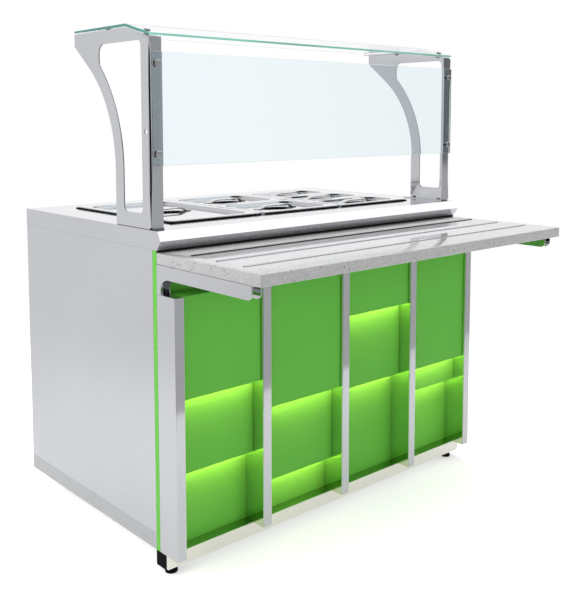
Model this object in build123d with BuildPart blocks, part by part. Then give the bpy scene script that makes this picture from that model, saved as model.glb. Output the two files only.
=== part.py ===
"""Serving counter with a heated bain marie well, a glass sneeze guard, a stone tray slide and a lit front."""
import math
import os

from build123d import *

# Counter body, millimetres. X runs along the counter, -Y is the guests' side, Z is up from the floor.
counter_length = 1225.0
worktop_height = 910.0
carcass_depth = 727.0
sheet = 2.0  # folded stainless sheet
side_thickness = 25.0
base_band = 44.0
board_thickness = 18.0

# Worktop edge, folded down all round, with a V-shaped nosing at the front
edge_height = 50.0
nose_top_reach = 7.0
nose_tip_reach = 20.0
nose_tip_drop = 25.0
nose_root_reach = 3.0
nose_wall = 2.6  # level thickness of the sloping nosing sheet

# Legs and levelling feet
leg_exposed = 40.0
leg_width = 60.0
leg_depth = 47.0
leg_wall = 4.0
rear_leg_inset = 90.0
foot_clearance = 20.0  # leg ends above the floor
foot_radius = 17.0
foot_pad = 9.0
foot_nut = 9.0
foot_nut_width = 17.0
stem_radius = 5.0
stem_engagement = 33.0

# Heated well and gastronorm pans
gn_width = 325.0
gn_length = 530.0
modules = (
    ("full",),
    ("half_back", "half_front"),
    ("third_back", "third_middle", "third_front"),
)
module_gap = 2.0
pan_gap = 1.0
well_back_margin = 103.0
rim_bearing = 10.0
rim_width = 13.0
rim_corner = 12.0
pan_depth = 150.0
pan_wall = 1.2
pan_slope = 8.0  # how far each wall leans in from rim to floor
pan_corner = 26.0
pan_floor_corner = 14.0
seal_height = 3.0
seal_margin = 3.0
seat_bearing = 5.0  # how far the seal and the pan bars reach in under the rims
tank_depth = 200.0
tank_overlap = 4.0
tank_flange = 16.0
insulation = 25.0

# Lids: a flat border, a sunken panel and a strap handle over a finger dish
lid_margin = 1.0
lid_sheet = 1.2
lid_border = 22.0
lid_sink = 9.0
lid_lean = 3.0
lid_corner = 11.0
panel_corner = 46.0
dish_length = 132.0
dish_width = 88.0
dish_depth = 11.0
dish_lean = 10.0
strap_width = 24.0
strap_rise = 12.0
strap_grip = 88.0  # length of the level part
strap_thickness = 3.0
strap_tab = 5.0

# Heating elements in the well
heater_tube = 4.25  # radius
heater_lift = 24.0
heater_span = 150.0
heater_bend = 38.0
heater_front_gap = 60.0
heater_tail = 24.0
bush_radius = 9.0
bush_length = 7.0

# Staff side controls
fascia_height = 120.0
fascia_lip = 22.0
control_end_gap = 207.5  # thermostat from the left end panel
control_pitch = 62.0
control_box_depth = 58.0
control_box_margin = 40.0
thermostat_size = 40.0
thermostat_depth = 34.0
bush_outer = 5.0  # thermostat bush radius
spindle_radius = 3.0
spindle_length = 24.0
knob_radius = 24.0
knob_skirt = 6.0
knob_height = 22.0
knob_grip_radius = 17.0
knob_bar = 7.0
knob_gap = 1.5
switch_width = 24.0
switch_height = 32.0
switch_bezel = 2.5
switch_wall = 2.0
switch_depth = 26.0
rocker_margin = 0.5
rocker_tilt = 8.0  # degrees each side of level
rocker_reach = 5.0
rocker_pivot_depth = 4.0
rocker_pin = 1.5
lamp_radius = 8.0
lamp_body_radius = 6.0
lamp_depth = 24.0
lamp_dome = 7.0
gland_end_gap = 117.5  # cable gland from the right end panel
gland_thread = 10.0
gland_hex = 26.0
gland_flange = 6.0
gland_dome = 15.0
gland_bore = 5.5

# Drain
drain_end_gap = 105.5  # drain from the tank's right end
drain_back_gap = 95.0
drain_bore = 10.0
drain_pipe = 13.5
drain_collar = 26.0
drain_collar_height = 5.0
drain_drop = 40.0
valve_radius = 22.0
valve_height = 58.0
drain_tail = 45.0
hose_hole = 32.0  # radius, through the base tray
valve_stem = 5.0
valve_stem_length = 14.0
lever_length = 95.0
lever_width = 16.0
lever_thickness = 5.0
lever_hub = 11.0
grip_length = 55.0
grip_thickness = 11.0

# Front decor: green board, steel fins, stepped lit panels, plinth
fin_thickness = 28.0
fin_depth = 80.0
fin_top_drop = 162.0  # below the worktop
inner_fin_offset = 309.0
upper_depth = 70.0
middle_depth = 35.0
upper_panel_drops = (432.0, 517.0, 307.0, 534.0)  # lower edges, below the worktop
middle_panel_drops = (644.0, 746.0, 546.0, 623.0)
panel_sheet = 2.0
light_lip = 9.0  # the lit recess above each panel's lower edge
led_width = 10.0
led_height = 4.0
led_end_gap = 12.0
cheek = 1.5
cheek_setback = 1.5
plinth_depth = 7.0
plinth_height = 36.0
driver_length = 180.0
driver_height = 42.0
driver_depth = 30.0
driver_drop = 50.0

# Stone tray slide, its runners and brackets
slab_depth = 415.0
slab_thickness = 30.0
slab_drop = 55.0  # slab top below the worktop
runner_count = 3
runner_width = 9.0
runner_sunk = 2.0
runner_proud = 2.5
runner_end_gap = 34.0
arm_width = 30.0
arm_sheet = 3.0
arm_length = 383.0
arm_height = 35.0
arm_tip_radius = 16.0
arm_root = 19.0
arm_cut_start = 50.0

# Sneeze guard
guard_setback = 28.0  # behind the worktop's front edge
guard_plate = 3.0
guard_foot = 170.0
guard_arc_height = 150.0
guard_arc_radius = 350.0
guard_arc_turn = 52.0
guard_reach = 383.0
guard_height = 522.0
guard_border = 40.0
guard_front_border = 38.0
guard_top_border = 36.0
window_turn = 46.0
window_corner = 15.0
window_back_corner = 26.0
flange_width = 38.0
foot_flange = 40.0
top_flange = 32.0
wire_hole_radius = 6.5
wire_hole_height = 252.0
glass = 6.0
glass_pad = 3.0
shelf_fold_reach = 111.0  # level part starts this far behind the guard's front
shelf_fall = 29.0
pane_height = 290.0
pane_bottom = 165.0
pane_end_gap = 6.0  # pane's end from the end plate's outer face
pane_bolt_inset = 20.0
pane_bolt_margin = 30.0
bolt_radius = 4.0
bolt_head = 9.0
bolt_cap = 3.5
nut_radius = 7.0
nut_height = 5.0
shelf_bolt_reach = 230.0
facet_bolt_share = 0.35
foot_bolt_gap = 110.0

# Clearances
seat_gap = 0.3  # loose pieces above their seats
running_clearance = 0.05
hole_clearance = 0.1
joint_gap = 0.4  # between strips laid end to end

# Places that follow from the sizes above
control_reach = knob_gap + knob_height
overall_depth = slab_depth + board_thickness + carcass_depth + control_reach
slab_front_y = -overall_depth / 2
board_front_y = slab_front_y + slab_depth
carcass_front_y = board_front_y + board_thickness
back_y = carcass_front_y + carcass_depth
end_x = counter_length / 2
inside_x = end_x - side_thickness
body_bottom_z = foot_clearance + leg_exposed
base_top_z = body_bottom_z + base_band
edge_bottom_z = worktop_height - edge_height
plate_under_z = worktop_height - sheet

pitch = gn_width + module_gap
pans_width = len(modules) * pitch - module_gap
well_y = back_y - well_back_margin - gn_length / 2
cutout_x = pans_width / 2 - rim_bearing
cutout_y = gn_length / 2 - rim_bearing
seat_x = pans_width / 2 - seat_bearing
seat_y = gn_length / 2 - seat_bearing
seal_x = pans_width / 2 + seal_margin
seal_y = gn_length / 2 + seal_margin
seal_top_z = worktop_height + seal_height
rim_z = seal_top_z + seat_gap
rim_top_z = rim_z + pan_wall
lid_z = rim_top_z + seat_gap
lid_panel_z = lid_z + lid_sheet - lid_sink
tank_x = cutout_x + tank_overlap + sheet
tank_y = cutout_y + tank_overlap + sheet
tank_bottom_z = worktop_height - tank_depth
tank_back_y = well_y + tank_y
heater_z = tank_bottom_z + sheet + heater_lift

fascia_bottom_z = edge_bottom_z - fascia_height
control_z = (fascia_bottom_z + edge_bottom_z) / 2
fascia_back_y = back_y - sheet
control_x = -inside_x + control_end_gap
lamp_x = control_x - control_pitch
switch_xs = (control_x + control_pitch, control_x + control_pitch * 1.7)

gland_x = inside_x - gland_end_gap

drain_x = tank_x - drain_end_gap
drain_y = tank_back_y - drain_back_gap
valve_top_z = tank_bottom_z - drain_collar_height - drain_drop
valve_z = valve_top_z - valve_height / 2
drain_end_z = valve_top_z - valve_height - drain_tail

fin_top_z = worktop_height - fin_top_drop
fin_front_y = board_front_y - fin_depth
fin_centres = (
    -end_x + fin_thickness / 2,
    -inner_fin_offset,
    0.0,
    inner_fin_offset,
    end_x - fin_thickness / 2,
)
bays = [
    (left + fin_thickness / 2, right - fin_thickness / 2)
    for left, right in zip(fin_centres, fin_centres[1:])
]
upper_front_y = board_front_y - upper_depth
middle_front_y = board_front_y - middle_depth
leg_front_y = carcass_front_y - leg_depth
plinth_front_y = leg_front_y - plinth_depth

slab_top_z = worktop_height - slab_drop
slab_bottom_z = slab_top_z - slab_thickness
runner_ys = [slab_front_y + slab_depth * (row + 1) / (runner_count + 1) for row in range(runner_count)]

guard_front_y = board_front_y - nose_top_reach + guard_setback
guard_foot_back_y = guard_front_y + guard_foot
guard_back_y = guard_front_y + guard_reach
guard_top_z = worktop_height + guard_height
fold_y = guard_front_y + shelf_fold_reach
facet_angle = math.degrees(math.atan2(shelf_fall, shelf_fold_reach))
pane_back_y = guard_front_y - glass_pad
pane_bottom_z = worktop_height + pane_bottom
pane_end_x = end_x - pane_end_gap
bolt_x = end_x - pane_bolt_inset
foot_bolt_ys = [
    guard_front_y + guard_foot / 2 + side * foot_bolt_gap / 2 for side in (-1, 1)
]

leg_places = {
    "front_left": (-end_x + leg_width / 2, carcass_front_y - leg_depth / 2),
    "front_right": (end_x - leg_width / 2, carcass_front_y - leg_depth / 2),
    "rear_left": (-end_x + rear_leg_inset + leg_width / 2, back_y - rear_leg_inset - leg_depth / 2),
    "rear_right": (end_x - rear_leg_inset - leg_width / 2, back_y - rear_leg_inset - leg_depth / 2),
}


def block(x_ends, y_ends, z_ends, mode=Mode.ADD):
    """A box between two values on each axis, in the open part block."""
    centre = tuple(sum(ends) / 2 for ends in (x_ends, y_ends, z_ends))
    with Locations(centre):
        Box(*[abs(ends[1] - ends[0]) for ends in (x_ends, y_ends, z_ends)], mode=mode)


def rod(start, direction, radius, length, mode=Mode.ADD):
    """A round bar from a point along a direction, in the open part block."""
    with Locations(Plane(origin=start, z_dir=direction)):
        Cylinder(radius, length, align=(Align.CENTER, Align.CENTER, Align.MIN), mode=mode)


def inward(side, depth):
    """The X range of a piece that starts flush with one end of the counter."""
    return sorted((side * end_x, side * (end_x - depth)))


def save(piece, node):
    piece.part.label = node
    export_step(piece.part, f"parts/{node}.step")


def make_worktop():
    with BuildPart() as worktop:
        with BuildSketch(Plane.YZ.offset(-end_x)):
            with BuildLine():
                Polyline(
                    (back_y, worktop_height),
                    (board_front_y - nose_top_reach, worktop_height),
                    (board_front_y - nose_tip_reach, worktop_height - nose_tip_drop),
                    (board_front_y - nose_root_reach, edge_bottom_z),
                    (back_y, edge_bottom_z),
                    close=True,
                )
            make_face()
        extrude(amount=counter_length)
        with BuildSketch(Plane.YZ.offset(-end_x + sheet)):
            with BuildLine():
                Polyline(
                    (fascia_back_y, plate_under_z),
                    (board_front_y - nose_top_reach + nose_wall / 2, plate_under_z),
                    (board_front_y - nose_tip_reach + nose_wall, worktop_height - nose_tip_drop),
                    (board_front_y - nose_root_reach + nose_wall, edge_bottom_z),
                    (fascia_back_y, edge_bottom_z),
                    close=True,
                )
            make_face()
        extrude(amount=counter_length - 2 * sheet, mode=Mode.SUBTRACT)
        block(
            (-cutout_x, cutout_x),
            (well_y - cutout_y, well_y + cutout_y),
            (plate_under_z - sheet, worktop_height + sheet),
            Mode.SUBTRACT,
        )
        for x in (-bolt_x, bolt_x):
            for y in foot_bolt_ys:
                rod((x, y, plate_under_z), (0, 0, 1), bolt_radius + hole_clearance, sheet, Mode.SUBTRACT)
    return worktop


def make_side_panel(side):
    low_x, high_x = inward(side, side_thickness)
    with BuildPart() as panel:
        block((low_x, high_x), (carcass_front_y, back_y), (base_top_z, edge_bottom_z))
        block(
            (low_x + sheet, high_x - sheet),
            (carcass_front_y + sheet, back_y - sheet),
            (base_top_z - sheet, edge_bottom_z - sheet),
            Mode.SUBTRACT,
        )
    return panel


def make_base_tray():
    with BuildPart() as tray:
        block((-end_x, end_x), (carcass_front_y, back_y), (body_bottom_z, base_top_z))
        block(
            (-end_x + sheet, end_x - sheet),
            (carcass_front_y + sheet, back_y - sheet),
            (body_bottom_z - sheet, base_top_z - sheet),
            Mode.SUBTRACT,
        )
        rod((drain_x, drain_y, base_top_z - sheet), (0, 0, 1), hose_hole, sheet, Mode.SUBTRACT)
    return tray


def make_front_board():
    with BuildPart() as board:
        block((-end_x, end_x), (board_front_y, carcass_front_y), (body_bottom_z, edge_bottom_z))
    return board


def make_legs():
    with BuildPart() as legs:
        for place, (x, y) in leg_places.items():
            top_z = body_bottom_z if place.startswith("front") else base_top_z - sheet
            x_ends = (x - leg_width / 2, x + leg_width / 2)
            y_ends = (y - leg_depth / 2, y + leg_depth / 2)
            block(x_ends, y_ends, (foot_clearance, top_z))
            block(
                (x_ends[0] + leg_wall, x_ends[1] - leg_wall),
                (y_ends[0] + leg_wall, y_ends[1] - leg_wall),
                (foot_clearance + leg_wall, top_z + leg_wall),
                Mode.SUBTRACT,
            )
            rod(
                (x, y, foot_clearance),
                (0, 0, 1),
                stem_radius + running_clearance,
                leg_wall,
                Mode.SUBTRACT,
            )
    return legs


def make_foot(x, y):
    with BuildPart() as foot:
        rod((x, y, 0), (0, 0, 1), foot_radius, foot_pad)
        chamfer(foot.edges().filter_by(GeomType.CIRCLE).group_by(Axis.Z)[-1], foot_pad / 3)
        with BuildSketch(Plane.XY.offset(foot_pad)):
            with Locations((x, y)):
                RegularPolygon(foot_nut_width / 2, 6, major_radius=False)
        extrude(amount=foot_nut)
        rod((x, y, foot_pad), (0, 0, 1), stem_radius, foot_nut + stem_engagement)
    return foot


def make_fins():
    with BuildPart() as fins:
        for x in fin_centres:
            x_ends = (x - fin_thickness / 2, x + fin_thickness / 2)
            block(x_ends, (fin_front_y, board_front_y), (body_bottom_z, fin_top_z))
            block(
                (x_ends[0] + sheet, x_ends[1] - sheet),
                (fin_front_y + sheet, board_front_y + sheet),
                (body_bottom_z + sheet, fin_top_z - sheet),
                Mode.SUBTRACT,
            )
    return fins


def bay_inside(bay):
    """The X range between a bay's two cheeks."""
    left, right = bays[bay]
    return left + cheek + joint_gap, right - cheek - joint_gap


def make_upper_panel(bay):
    x_ends = bay_inside(bay)
    bottom_z = worktop_height - upper_panel_drops[bay]
    with BuildPart() as panel:
        block(x_ends, (upper_front_y, upper_front_y + panel_sheet), (bottom_z, fin_top_z))
        block(x_ends, (upper_front_y, board_front_y), (fin_top_z - panel_sheet, fin_top_z))
        block(
            x_ends,
            (upper_front_y, board_front_y),
            (bottom_z + light_lip, bottom_z + light_lip + panel_sheet),
        )
    return panel


def make_middle_panel(bay):
    x_ends = bay_inside(bay)
    bottom_z = worktop_height - middle_panel_drops[bay]
    top_z = worktop_height - upper_panel_drops[bay] + light_lip
    with BuildPart() as panel:
        block(x_ends, (middle_front_y, middle_front_y + panel_sheet), (bottom_z, top_z))
        block(
            x_ends,
            (middle_front_y, board_front_y),
            (bottom_z + light_lip, bottom_z + light_lip + panel_sheet),
        )
    return panel


def make_bay_liners():
    with BuildPart() as liners:
        for bay, (left, right) in enumerate(bays):
            y_ends = (fin_front_y + cheek_setback, board_front_y)
            for x_ends in ((left, left + cheek), (right - cheek, right)):
                block(x_ends, y_ends, (body_bottom_z, fin_top_z))
            block(
                bay_inside(bay),
                (plinth_front_y, board_front_y),
                (body_bottom_z, body_bottom_z + panel_sheet),
            )
    return liners


def make_led_strips():
    steps = (
        (upper_panel_drops, upper_front_y + panel_sheet, middle_front_y),
        (middle_panel_drops, middle_front_y + panel_sheet, board_front_y),
    )
    with BuildPart() as strips:
        for bay in range(len(bays)):
            left, right = bay_inside(bay)
            for drops, front, rear in steps:
                top_z = worktop_height - drops[bay] + light_lip
                middle_y = (front + rear) / 2
                block(
                    (left + led_end_gap, right - led_end_gap),
                    (middle_y - led_width / 2, middle_y + led_width / 2),
                    (top_z - led_height, top_z),
                )
    return strips


def make_plinth():
    with BuildPart() as plinth:
        z_ends = (body_bottom_z - plinth_height, body_bottom_z)
        block((-end_x, end_x), (plinth_front_y, leg_front_y), z_ends)
        block(
            (-end_x + sheet, end_x - sheet),
            (plinth_front_y + sheet, leg_front_y + sheet),
            (z_ends[0] + sheet, z_ends[1] - sheet),
            Mode.SUBTRACT,
        )
    return plinth


def make_led_driver():
    top_z = tank_bottom_z - insulation - driver_drop
    with BuildPart() as driver:
        block(
            (-inner_fin_offset - driver_length / 2, -inner_fin_offset + driver_length / 2),
            (carcass_front_y, carcass_front_y + driver_depth),
            (top_z - driver_height, top_z),
        )
        chamfer(driver.edges().filter_by(Axis.Y), driver_depth / 10)
    return driver


def runner_shape(width):
    """Slot outlines of the tray runners, in the open sketch."""
    for y in runner_ys:
        with Locations((0, y)):
            SlotOverall(counter_length - 2 * runner_end_gap, width)


def make_tray_slab():
    with BuildPart() as slab:
        block((-end_x, end_x), (slab_front_y, board_front_y), (slab_bottom_z, slab_top_z))
        with BuildSketch(Plane.XY.offset(slab_top_z)):
            runner_shape(runner_width + 2 * hole_clearance)
        extrude(amount=-runner_sunk, mode=Mode.SUBTRACT)
    return slab


def make_runners():
    with BuildPart() as runners:
        with BuildSketch(Plane.XY.offset(slab_top_z - runner_sunk)):
            runner_shape(runner_width)
        extrude(amount=runner_sunk + runner_proud)
        chamfer(runners.edges().group_by(Axis.Z)[-1], runner_proud / 2)
    return runners


def make_tray_bracket(side):
    low_x, high_x = inward(side, arm_width)
    tip_y = board_front_y - arm_length
    arm_bottom_z = slab_bottom_z - arm_height
    cut_start = (board_front_y - arm_cut_start, arm_bottom_z)
    cut_end = (board_front_y - arm_root, fin_top_z)
    with BuildPart() as bracket:
        for x in (low_x, high_x - arm_sheet):
            with BuildSketch(Plane.YZ.offset(x)):
                with BuildLine():
                    Line((board_front_y, slab_bottom_z), (tip_y, slab_bottom_z))
                    Line((tip_y, slab_bottom_z), (tip_y, arm_bottom_z + arm_tip_radius))
                    RadiusArc(
                        (tip_y, arm_bottom_z + arm_tip_radius),
                        (tip_y + arm_tip_radius, arm_bottom_z),
                        -arm_tip_radius,
                    )
                    Line((tip_y + arm_tip_radius, arm_bottom_z), cut_start)
                    TangentArc(cut_start, cut_end, tangent=(1, 0))
                    Line(cut_end, (board_front_y, fin_top_z))
                    Line((board_front_y, fin_top_z), (board_front_y, slab_bottom_z))
                make_face()
            extrude(amount=arm_sheet)
        block((low_x, high_x), (tip_y, board_front_y), (slab_bottom_z - arm_sheet, slab_bottom_z))
        block((low_x, high_x), (board_front_y - arm_sheet, board_front_y), (fin_top_z, slab_bottom_z))
    return bracket


def facet_top_z(y):
    """Height of the guard plate's sloping top edge at a place along the depth."""
    return guard_top_z - (fold_y - y) * shelf_fall / shelf_fold_reach


def make_guard_bracket(side):
    plate_x = inward(side, guard_plate)
    flange_x = inward(side, flange_width)
    foot_x = inward(side, foot_flange)
    top_x = inward(side, top_flange)
    arc_z = worktop_height + guard_arc_height
    window_front_y = guard_front_y + guard_front_border
    window_bottom_z = worktop_height + guard_border
    window_top_z = guard_top_z - guard_top_border
    flange_back_y = guard_front_y + guard_plate
    with BuildPart() as bracket:
        with BuildSketch(Plane.YZ.offset(plate_x[0])):
            with BuildLine():
                Line((guard_front_y, worktop_height), (guard_foot_back_y, worktop_height))
                back_edge = Line((guard_foot_back_y, worktop_height), (guard_foot_back_y, arc_z))
                bow = JernArc(back_edge @ 1, (0, 1), guard_arc_radius, -guard_arc_turn)
                run = (guard_back_y - (bow @ 1).X) / (bow % 1).X
                slope = Line(bow @ 1, bow @ 1 + (bow % 1) * run)
                Polyline(
                    slope @ 1,
                    (guard_back_y, guard_top_z),
                    (fold_y, guard_top_z),
                    (guard_front_y, facet_top_z(guard_front_y)),
                    (guard_front_y, worktop_height),
                )
            make_face()
            with BuildSketch(mode=Mode.SUBTRACT) as window:
                with BuildLine():
                    sill = Line(
                        (window_front_y, window_bottom_z),
                        (guard_foot_back_y - guard_border, window_bottom_z),
                    )
                    rise = Line(sill @ 1, (guard_foot_back_y - guard_border, arc_z))
                    inner_bow = JernArc(rise @ 1, (0, 1), guard_arc_radius + guard_border, -window_turn)
                    Polyline(
                        inner_bow @ 1,
                        ((inner_bow @ 1).X, window_top_z),
                        (window_front_y, window_top_z),
                        (window_front_y, window_bottom_z),
                    )
                make_face()
                fillet(window.vertices().group_by(Axis.Y)[0], window_corner)
                fillet(window.vertices().group_by(Axis.Y)[-1].sort_by(Axis.X)[0], window_corner)
                fillet(window.vertices().group_by(Axis.Y)[-1].sort_by(Axis.X)[-1], window_back_corner)
                fillet(window.vertices().sort_by(Axis.X)[-2:].sort_by(Axis.Y)[0], window_back_corner)
        extrude(amount=guard_plate)
        block(flange_x, (guard_front_y, flange_back_y), (worktop_height, facet_top_z(guard_front_y)))
        block(foot_x, (guard_front_y, guard_foot_back_y), (worktop_height, worktop_height + guard_plate))
        with BuildSketch(Plane.YZ.offset(top_x[0])):
            with BuildLine():
                Polyline(
                    (guard_back_y, guard_top_z),
                    (fold_y, guard_top_z),
                    (guard_front_y, facet_top_z(guard_front_y)),
                    (guard_front_y, facet_top_z(guard_front_y) - guard_plate),
                    (fold_y, guard_top_z - guard_plate),
                    (guard_back_y, guard_top_z - guard_plate),
                    close=True,
                )
            make_face()
        extrude(amount=top_flange)
        for start, direction in guard_bolt_places(side):
            rod(
                Vector(start) - Vector(direction) * guard_plate,
                direction,
                bolt_radius + hole_clearance,
                2 * guard_plate,
                Mode.SUBTRACT,
            )
        rod(
            (plate_x[0], guard_front_y + guard_front_border / 2, worktop_height + wire_hole_height),
            (1, 0, 0),
            wire_hole_radius,
            guard_plate,
            Mode.SUBTRACT,
        )
    return bracket


def pane_bolt_places(side):
    heights = (pane_bottom_z + pane_bolt_margin, pane_bottom_z + pane_height - pane_bolt_margin)
    return [((side * bolt_x, guard_front_y, z), (0, -1, 0)) for z in heights]


def shelf_bolt_places(side):
    """Where bolts leave the guard's top, on its level part and on its facet, with their directions."""
    level = ((side * bolt_x, guard_front_y + shelf_bolt_reach, guard_top_z), (0, 0, 1))
    facet_y = guard_front_y + shelf_fold_reach * facet_bolt_share
    lean = math.radians(facet_angle)
    facet = ((side * bolt_x, facet_y, facet_top_z(facet_y)), (0, -math.sin(lean), math.cos(lean)))
    return [level, facet]


def foot_bolt_places(side):
    return [((side * bolt_x, y, worktop_height + guard_plate), (0, 0, 1)) for y in foot_bolt_ys]


def guard_bolt_places(side):
    return pane_bolt_places(side) + shelf_bolt_places(side) + foot_bolt_places(side)


def glass_outline(lift):
    """A line of the shelf glass from front to back, a lift square above the guard's top edge."""
    lean = math.radians(facet_angle)
    return [
        (guard_front_y - lift * math.sin(lean), facet_top_z(guard_front_y) + lift * math.cos(lean)),
        (fold_y - lift * math.tan(lean / 2), guard_top_z + lift),
        (guard_back_y, guard_top_z + lift),
    ]


def make_shelf_glass():
    with BuildPart() as shelf:
        with BuildSketch(Plane.YZ.offset(-end_x)):
            with BuildLine():
                upper_line = glass_outline(glass_pad + glass)
                Polyline(*glass_outline(glass_pad), *reversed(upper_line), close=True)
            make_face()
        extrude(amount=counter_length)
        for side in (-1, 1):
            for start, direction in shelf_bolt_places(side):
                rod(start, direction, bolt_radius + hole_clearance, 3 * glass, Mode.SUBTRACT)
    return shelf


def make_front_glass():
    with BuildPart() as pane:
        block(
            (-pane_end_x, pane_end_x),
            (pane_back_y - glass, pane_back_y),
            (pane_bottom_z, pane_bottom_z + pane_height),
        )
        for side in (-1, 1):
            for start, direction in pane_bolt_places(side):
                rod(start, direction, bolt_radius + hole_clearance, 3 * glass, Mode.SUBTRACT)
    return pane


def make_guard_bolts():
    with BuildPart() as bolts:
        for side in (-1, 1):
            for start, direction in pane_bolt_places(side) + shelf_bolt_places(side):
                start, along = Vector(start), Vector(direction)
                reach = glass_pad + glass
                rod(start - along * (guard_plate + nut_height), along, bolt_radius, reach + 2 * guard_plate)
                rod(start - along * (guard_plate + nut_height), along, nut_radius, nut_height)
                rod(start, along, bolt_radius + guard_plate, glass_pad)
                rod(start, along, bolt_radius, reach)
                rod(start + along * reach, along, bolt_head, bolt_cap)
            for start, direction in foot_bolt_places(side):
                start, along = Vector(start), Vector(direction)
                grip = guard_plate + sheet
                rod(start - along * (grip + nut_height), along, nut_radius, nut_height)
                rod(start - along * grip, along, bolt_radius, grip)
                rod(start, along, nut_radius, nut_height)
    return bolts


def bar_boxes():
    """Pan bars: X and Y ranges, long bars between the modules first, then the cross bars."""
    half_bar = seat_bearing + module_gap / 2
    edges_x = [-seal_x]
    boxes = []
    for seam in range(1, len(modules)):
        x = -pans_width / 2 + seam * pitch - module_gap / 2
        boxes.append(((x - half_bar, x + half_bar), (well_y - seal_y, well_y + seal_y)))
        edges_x += [x - half_bar, x + half_bar]
    edges_x.append(seal_x)
    for column, names in enumerate(modules):
        length = pan_length(column)
        for row in range(1, len(names)):
            y = well_y + gn_length / 2 - row * (length + pan_gap) + pan_gap / 2
            x_ends = (edges_x[2 * column] + joint_gap, edges_x[2 * column + 1] - joint_gap)
            half_cross = seat_bearing + pan_gap / 2
            boxes.append((x_ends, (y - half_cross, y + half_cross)))
    return boxes


def make_pan_bars():
    with BuildPart() as bars:
        for x_ends, y_ends in bar_boxes():
            block(x_ends, y_ends, (worktop_height, seal_top_z))
    return bars


def make_well_seal():
    with BuildPart() as seal:
        z_ends = (worktop_height, seal_top_z)
        for y_ends in ((well_y - seal_y, well_y - seat_y), (well_y + seat_y, well_y + seal_y)):
            block((-seal_x, seal_x), y_ends, z_ends)
        for x_ends in ((-seal_x, -seat_x), (seat_x, seal_x)):
            block(x_ends, (well_y - seat_y + joint_gap, well_y + seat_y - joint_gap), z_ends)
        for x_ends, y_ends in bar_boxes():
            block(
                (x_ends[0] - joint_gap, x_ends[1] + joint_gap),
                (y_ends[0] - joint_gap, y_ends[1] + joint_gap),
                z_ends,
                Mode.SUBTRACT,
            )
    return seal


def heater_xs():
    centres = [-pans_width / 2 + gn_width / 2 + column * pitch for column in range(len(modules))]
    return [(x - heater_span / 2, x + heater_span / 2) for x in centres]


def make_well_tank():
    y_ends = (well_y - tank_y, well_y + tank_y)
    with BuildPart() as tank:
        block((-tank_x, tank_x), y_ends, (tank_bottom_z, plate_under_z))
        block(
            (-tank_x - tank_flange, tank_x + tank_flange),
            (y_ends[0] - tank_flange, y_ends[1] + tank_flange),
            (plate_under_z - sheet, plate_under_z),
        )
        block(
            (-tank_x + sheet, tank_x - sheet),
            (y_ends[0] + sheet, y_ends[1] - sheet),
            (tank_bottom_z + sheet, plate_under_z + sheet),
            Mode.SUBTRACT,
        )
        rod((drain_x, drain_y, tank_bottom_z), (0, 0, 1), drain_bore, sheet, Mode.SUBTRACT)
        for ends in heater_xs():
            for x in ends:
                rod(
                    (x, tank_back_y - sheet, heater_z),
                    (0, 1, 0),
                    heater_tube + hole_clearance,
                    sheet,
                    Mode.SUBTRACT,
                )
    return tank


def make_insulation():
    y_ends = (well_y - tank_y - insulation, tank_back_y)
    top_z = plate_under_z - sheet
    with BuildPart() as boards:
        block(
            (-tank_x - insulation, tank_x + insulation),
            y_ends,
            (tank_bottom_z - insulation, tank_bottom_z),
        )
        rod(
            (drain_x, drain_y, tank_bottom_z - insulation),
            (0, 0, 1),
            drain_collar + joint_gap,
            insulation,
            Mode.SUBTRACT,
        )
        wall_z = (tank_bottom_z + joint_gap, top_z)
        for side in (-1, 1):
            block(sorted((side * tank_x, side * (tank_x + insulation))), y_ends, wall_z)
        block((-tank_x + joint_gap, tank_x - joint_gap), (y_ends[0], y_ends[0] + insulation), wall_z)
    return boards


def make_heaters():
    tail_y = tank_back_y + heater_tail
    turn_y = well_y - tank_y + heater_front_gap
    with BuildPart() as heaters:
        for left, right in heater_xs():
            with BuildLine() as route:
                FilletPolyline(
                    (left, tail_y, heater_z),
                    (left, turn_y, heater_z),
                    (right, turn_y, heater_z),
                    (right, tail_y, heater_z),
                    radius=heater_bend,
                )
            with BuildSketch(Plane(origin=(left, tail_y, heater_z), z_dir=(0, -1, 0))):
                Circle(heater_tube)
            sweep(path=route.wires()[0])
            for x in (left, right):
                rod((x, tank_back_y - sheet - bush_length, heater_z), (0, 1, 0), bush_radius, bush_length)
                rod((x, tank_back_y, heater_z), (0, 1, 0), bush_radius, bush_length)
    return heaters


def pan_length(column):
    count = len(modules[column])
    return (gn_length - (count - 1) * pan_gap) / count


def pan_places():
    """Each pan's name with its centre and its length along the depth, back to front."""
    places = {}
    for column, names in enumerate(modules):
        x = -pans_width / 2 + gn_width / 2 + column * pitch
        length = pan_length(column)
        for row, name in enumerate(names):
            places[name] = (x, well_y + gn_length / 2 - length / 2 - row * (length + pan_gap), length)
    return places


def make_pan(x, y, length):
    width_in = gn_width - 2 * rim_width
    length_in = length - 2 * rim_width

    def tapered(wall, floor_z, mode):
        """The pan's outside, or its inside one wall thickness in, down to a floor height."""
        lean = 2 * pan_slope
        corner = pan_corner - wall
        with BuildPart(mode=Mode.PRIVATE) as body:
            for z, shrink in ((rim_top_z, 2 * wall), (floor_z, 2 * wall + lean)):
                with BuildSketch(Plane.XY.offset(z)):
                    with Locations((x, y)):
                        RectangleRounded(width_in - shrink, length_in - shrink, corner)
            loft()
            fillet(body.edges().group_by(Axis.Z)[0], pan_floor_corner - wall)
        add(body.part, mode=mode)

    with BuildPart() as pan:
        with BuildSketch(Plane.XY.offset(rim_z)):
            with Locations((x, y)):
                RectangleRounded(gn_width, length, rim_corner)
        extrude(amount=pan_wall)
        tapered(0.0, rim_z - pan_depth, Mode.ADD)
        tapered(pan_wall, rim_z - pan_depth + pan_wall, Mode.SUBTRACT)
    return pan


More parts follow.
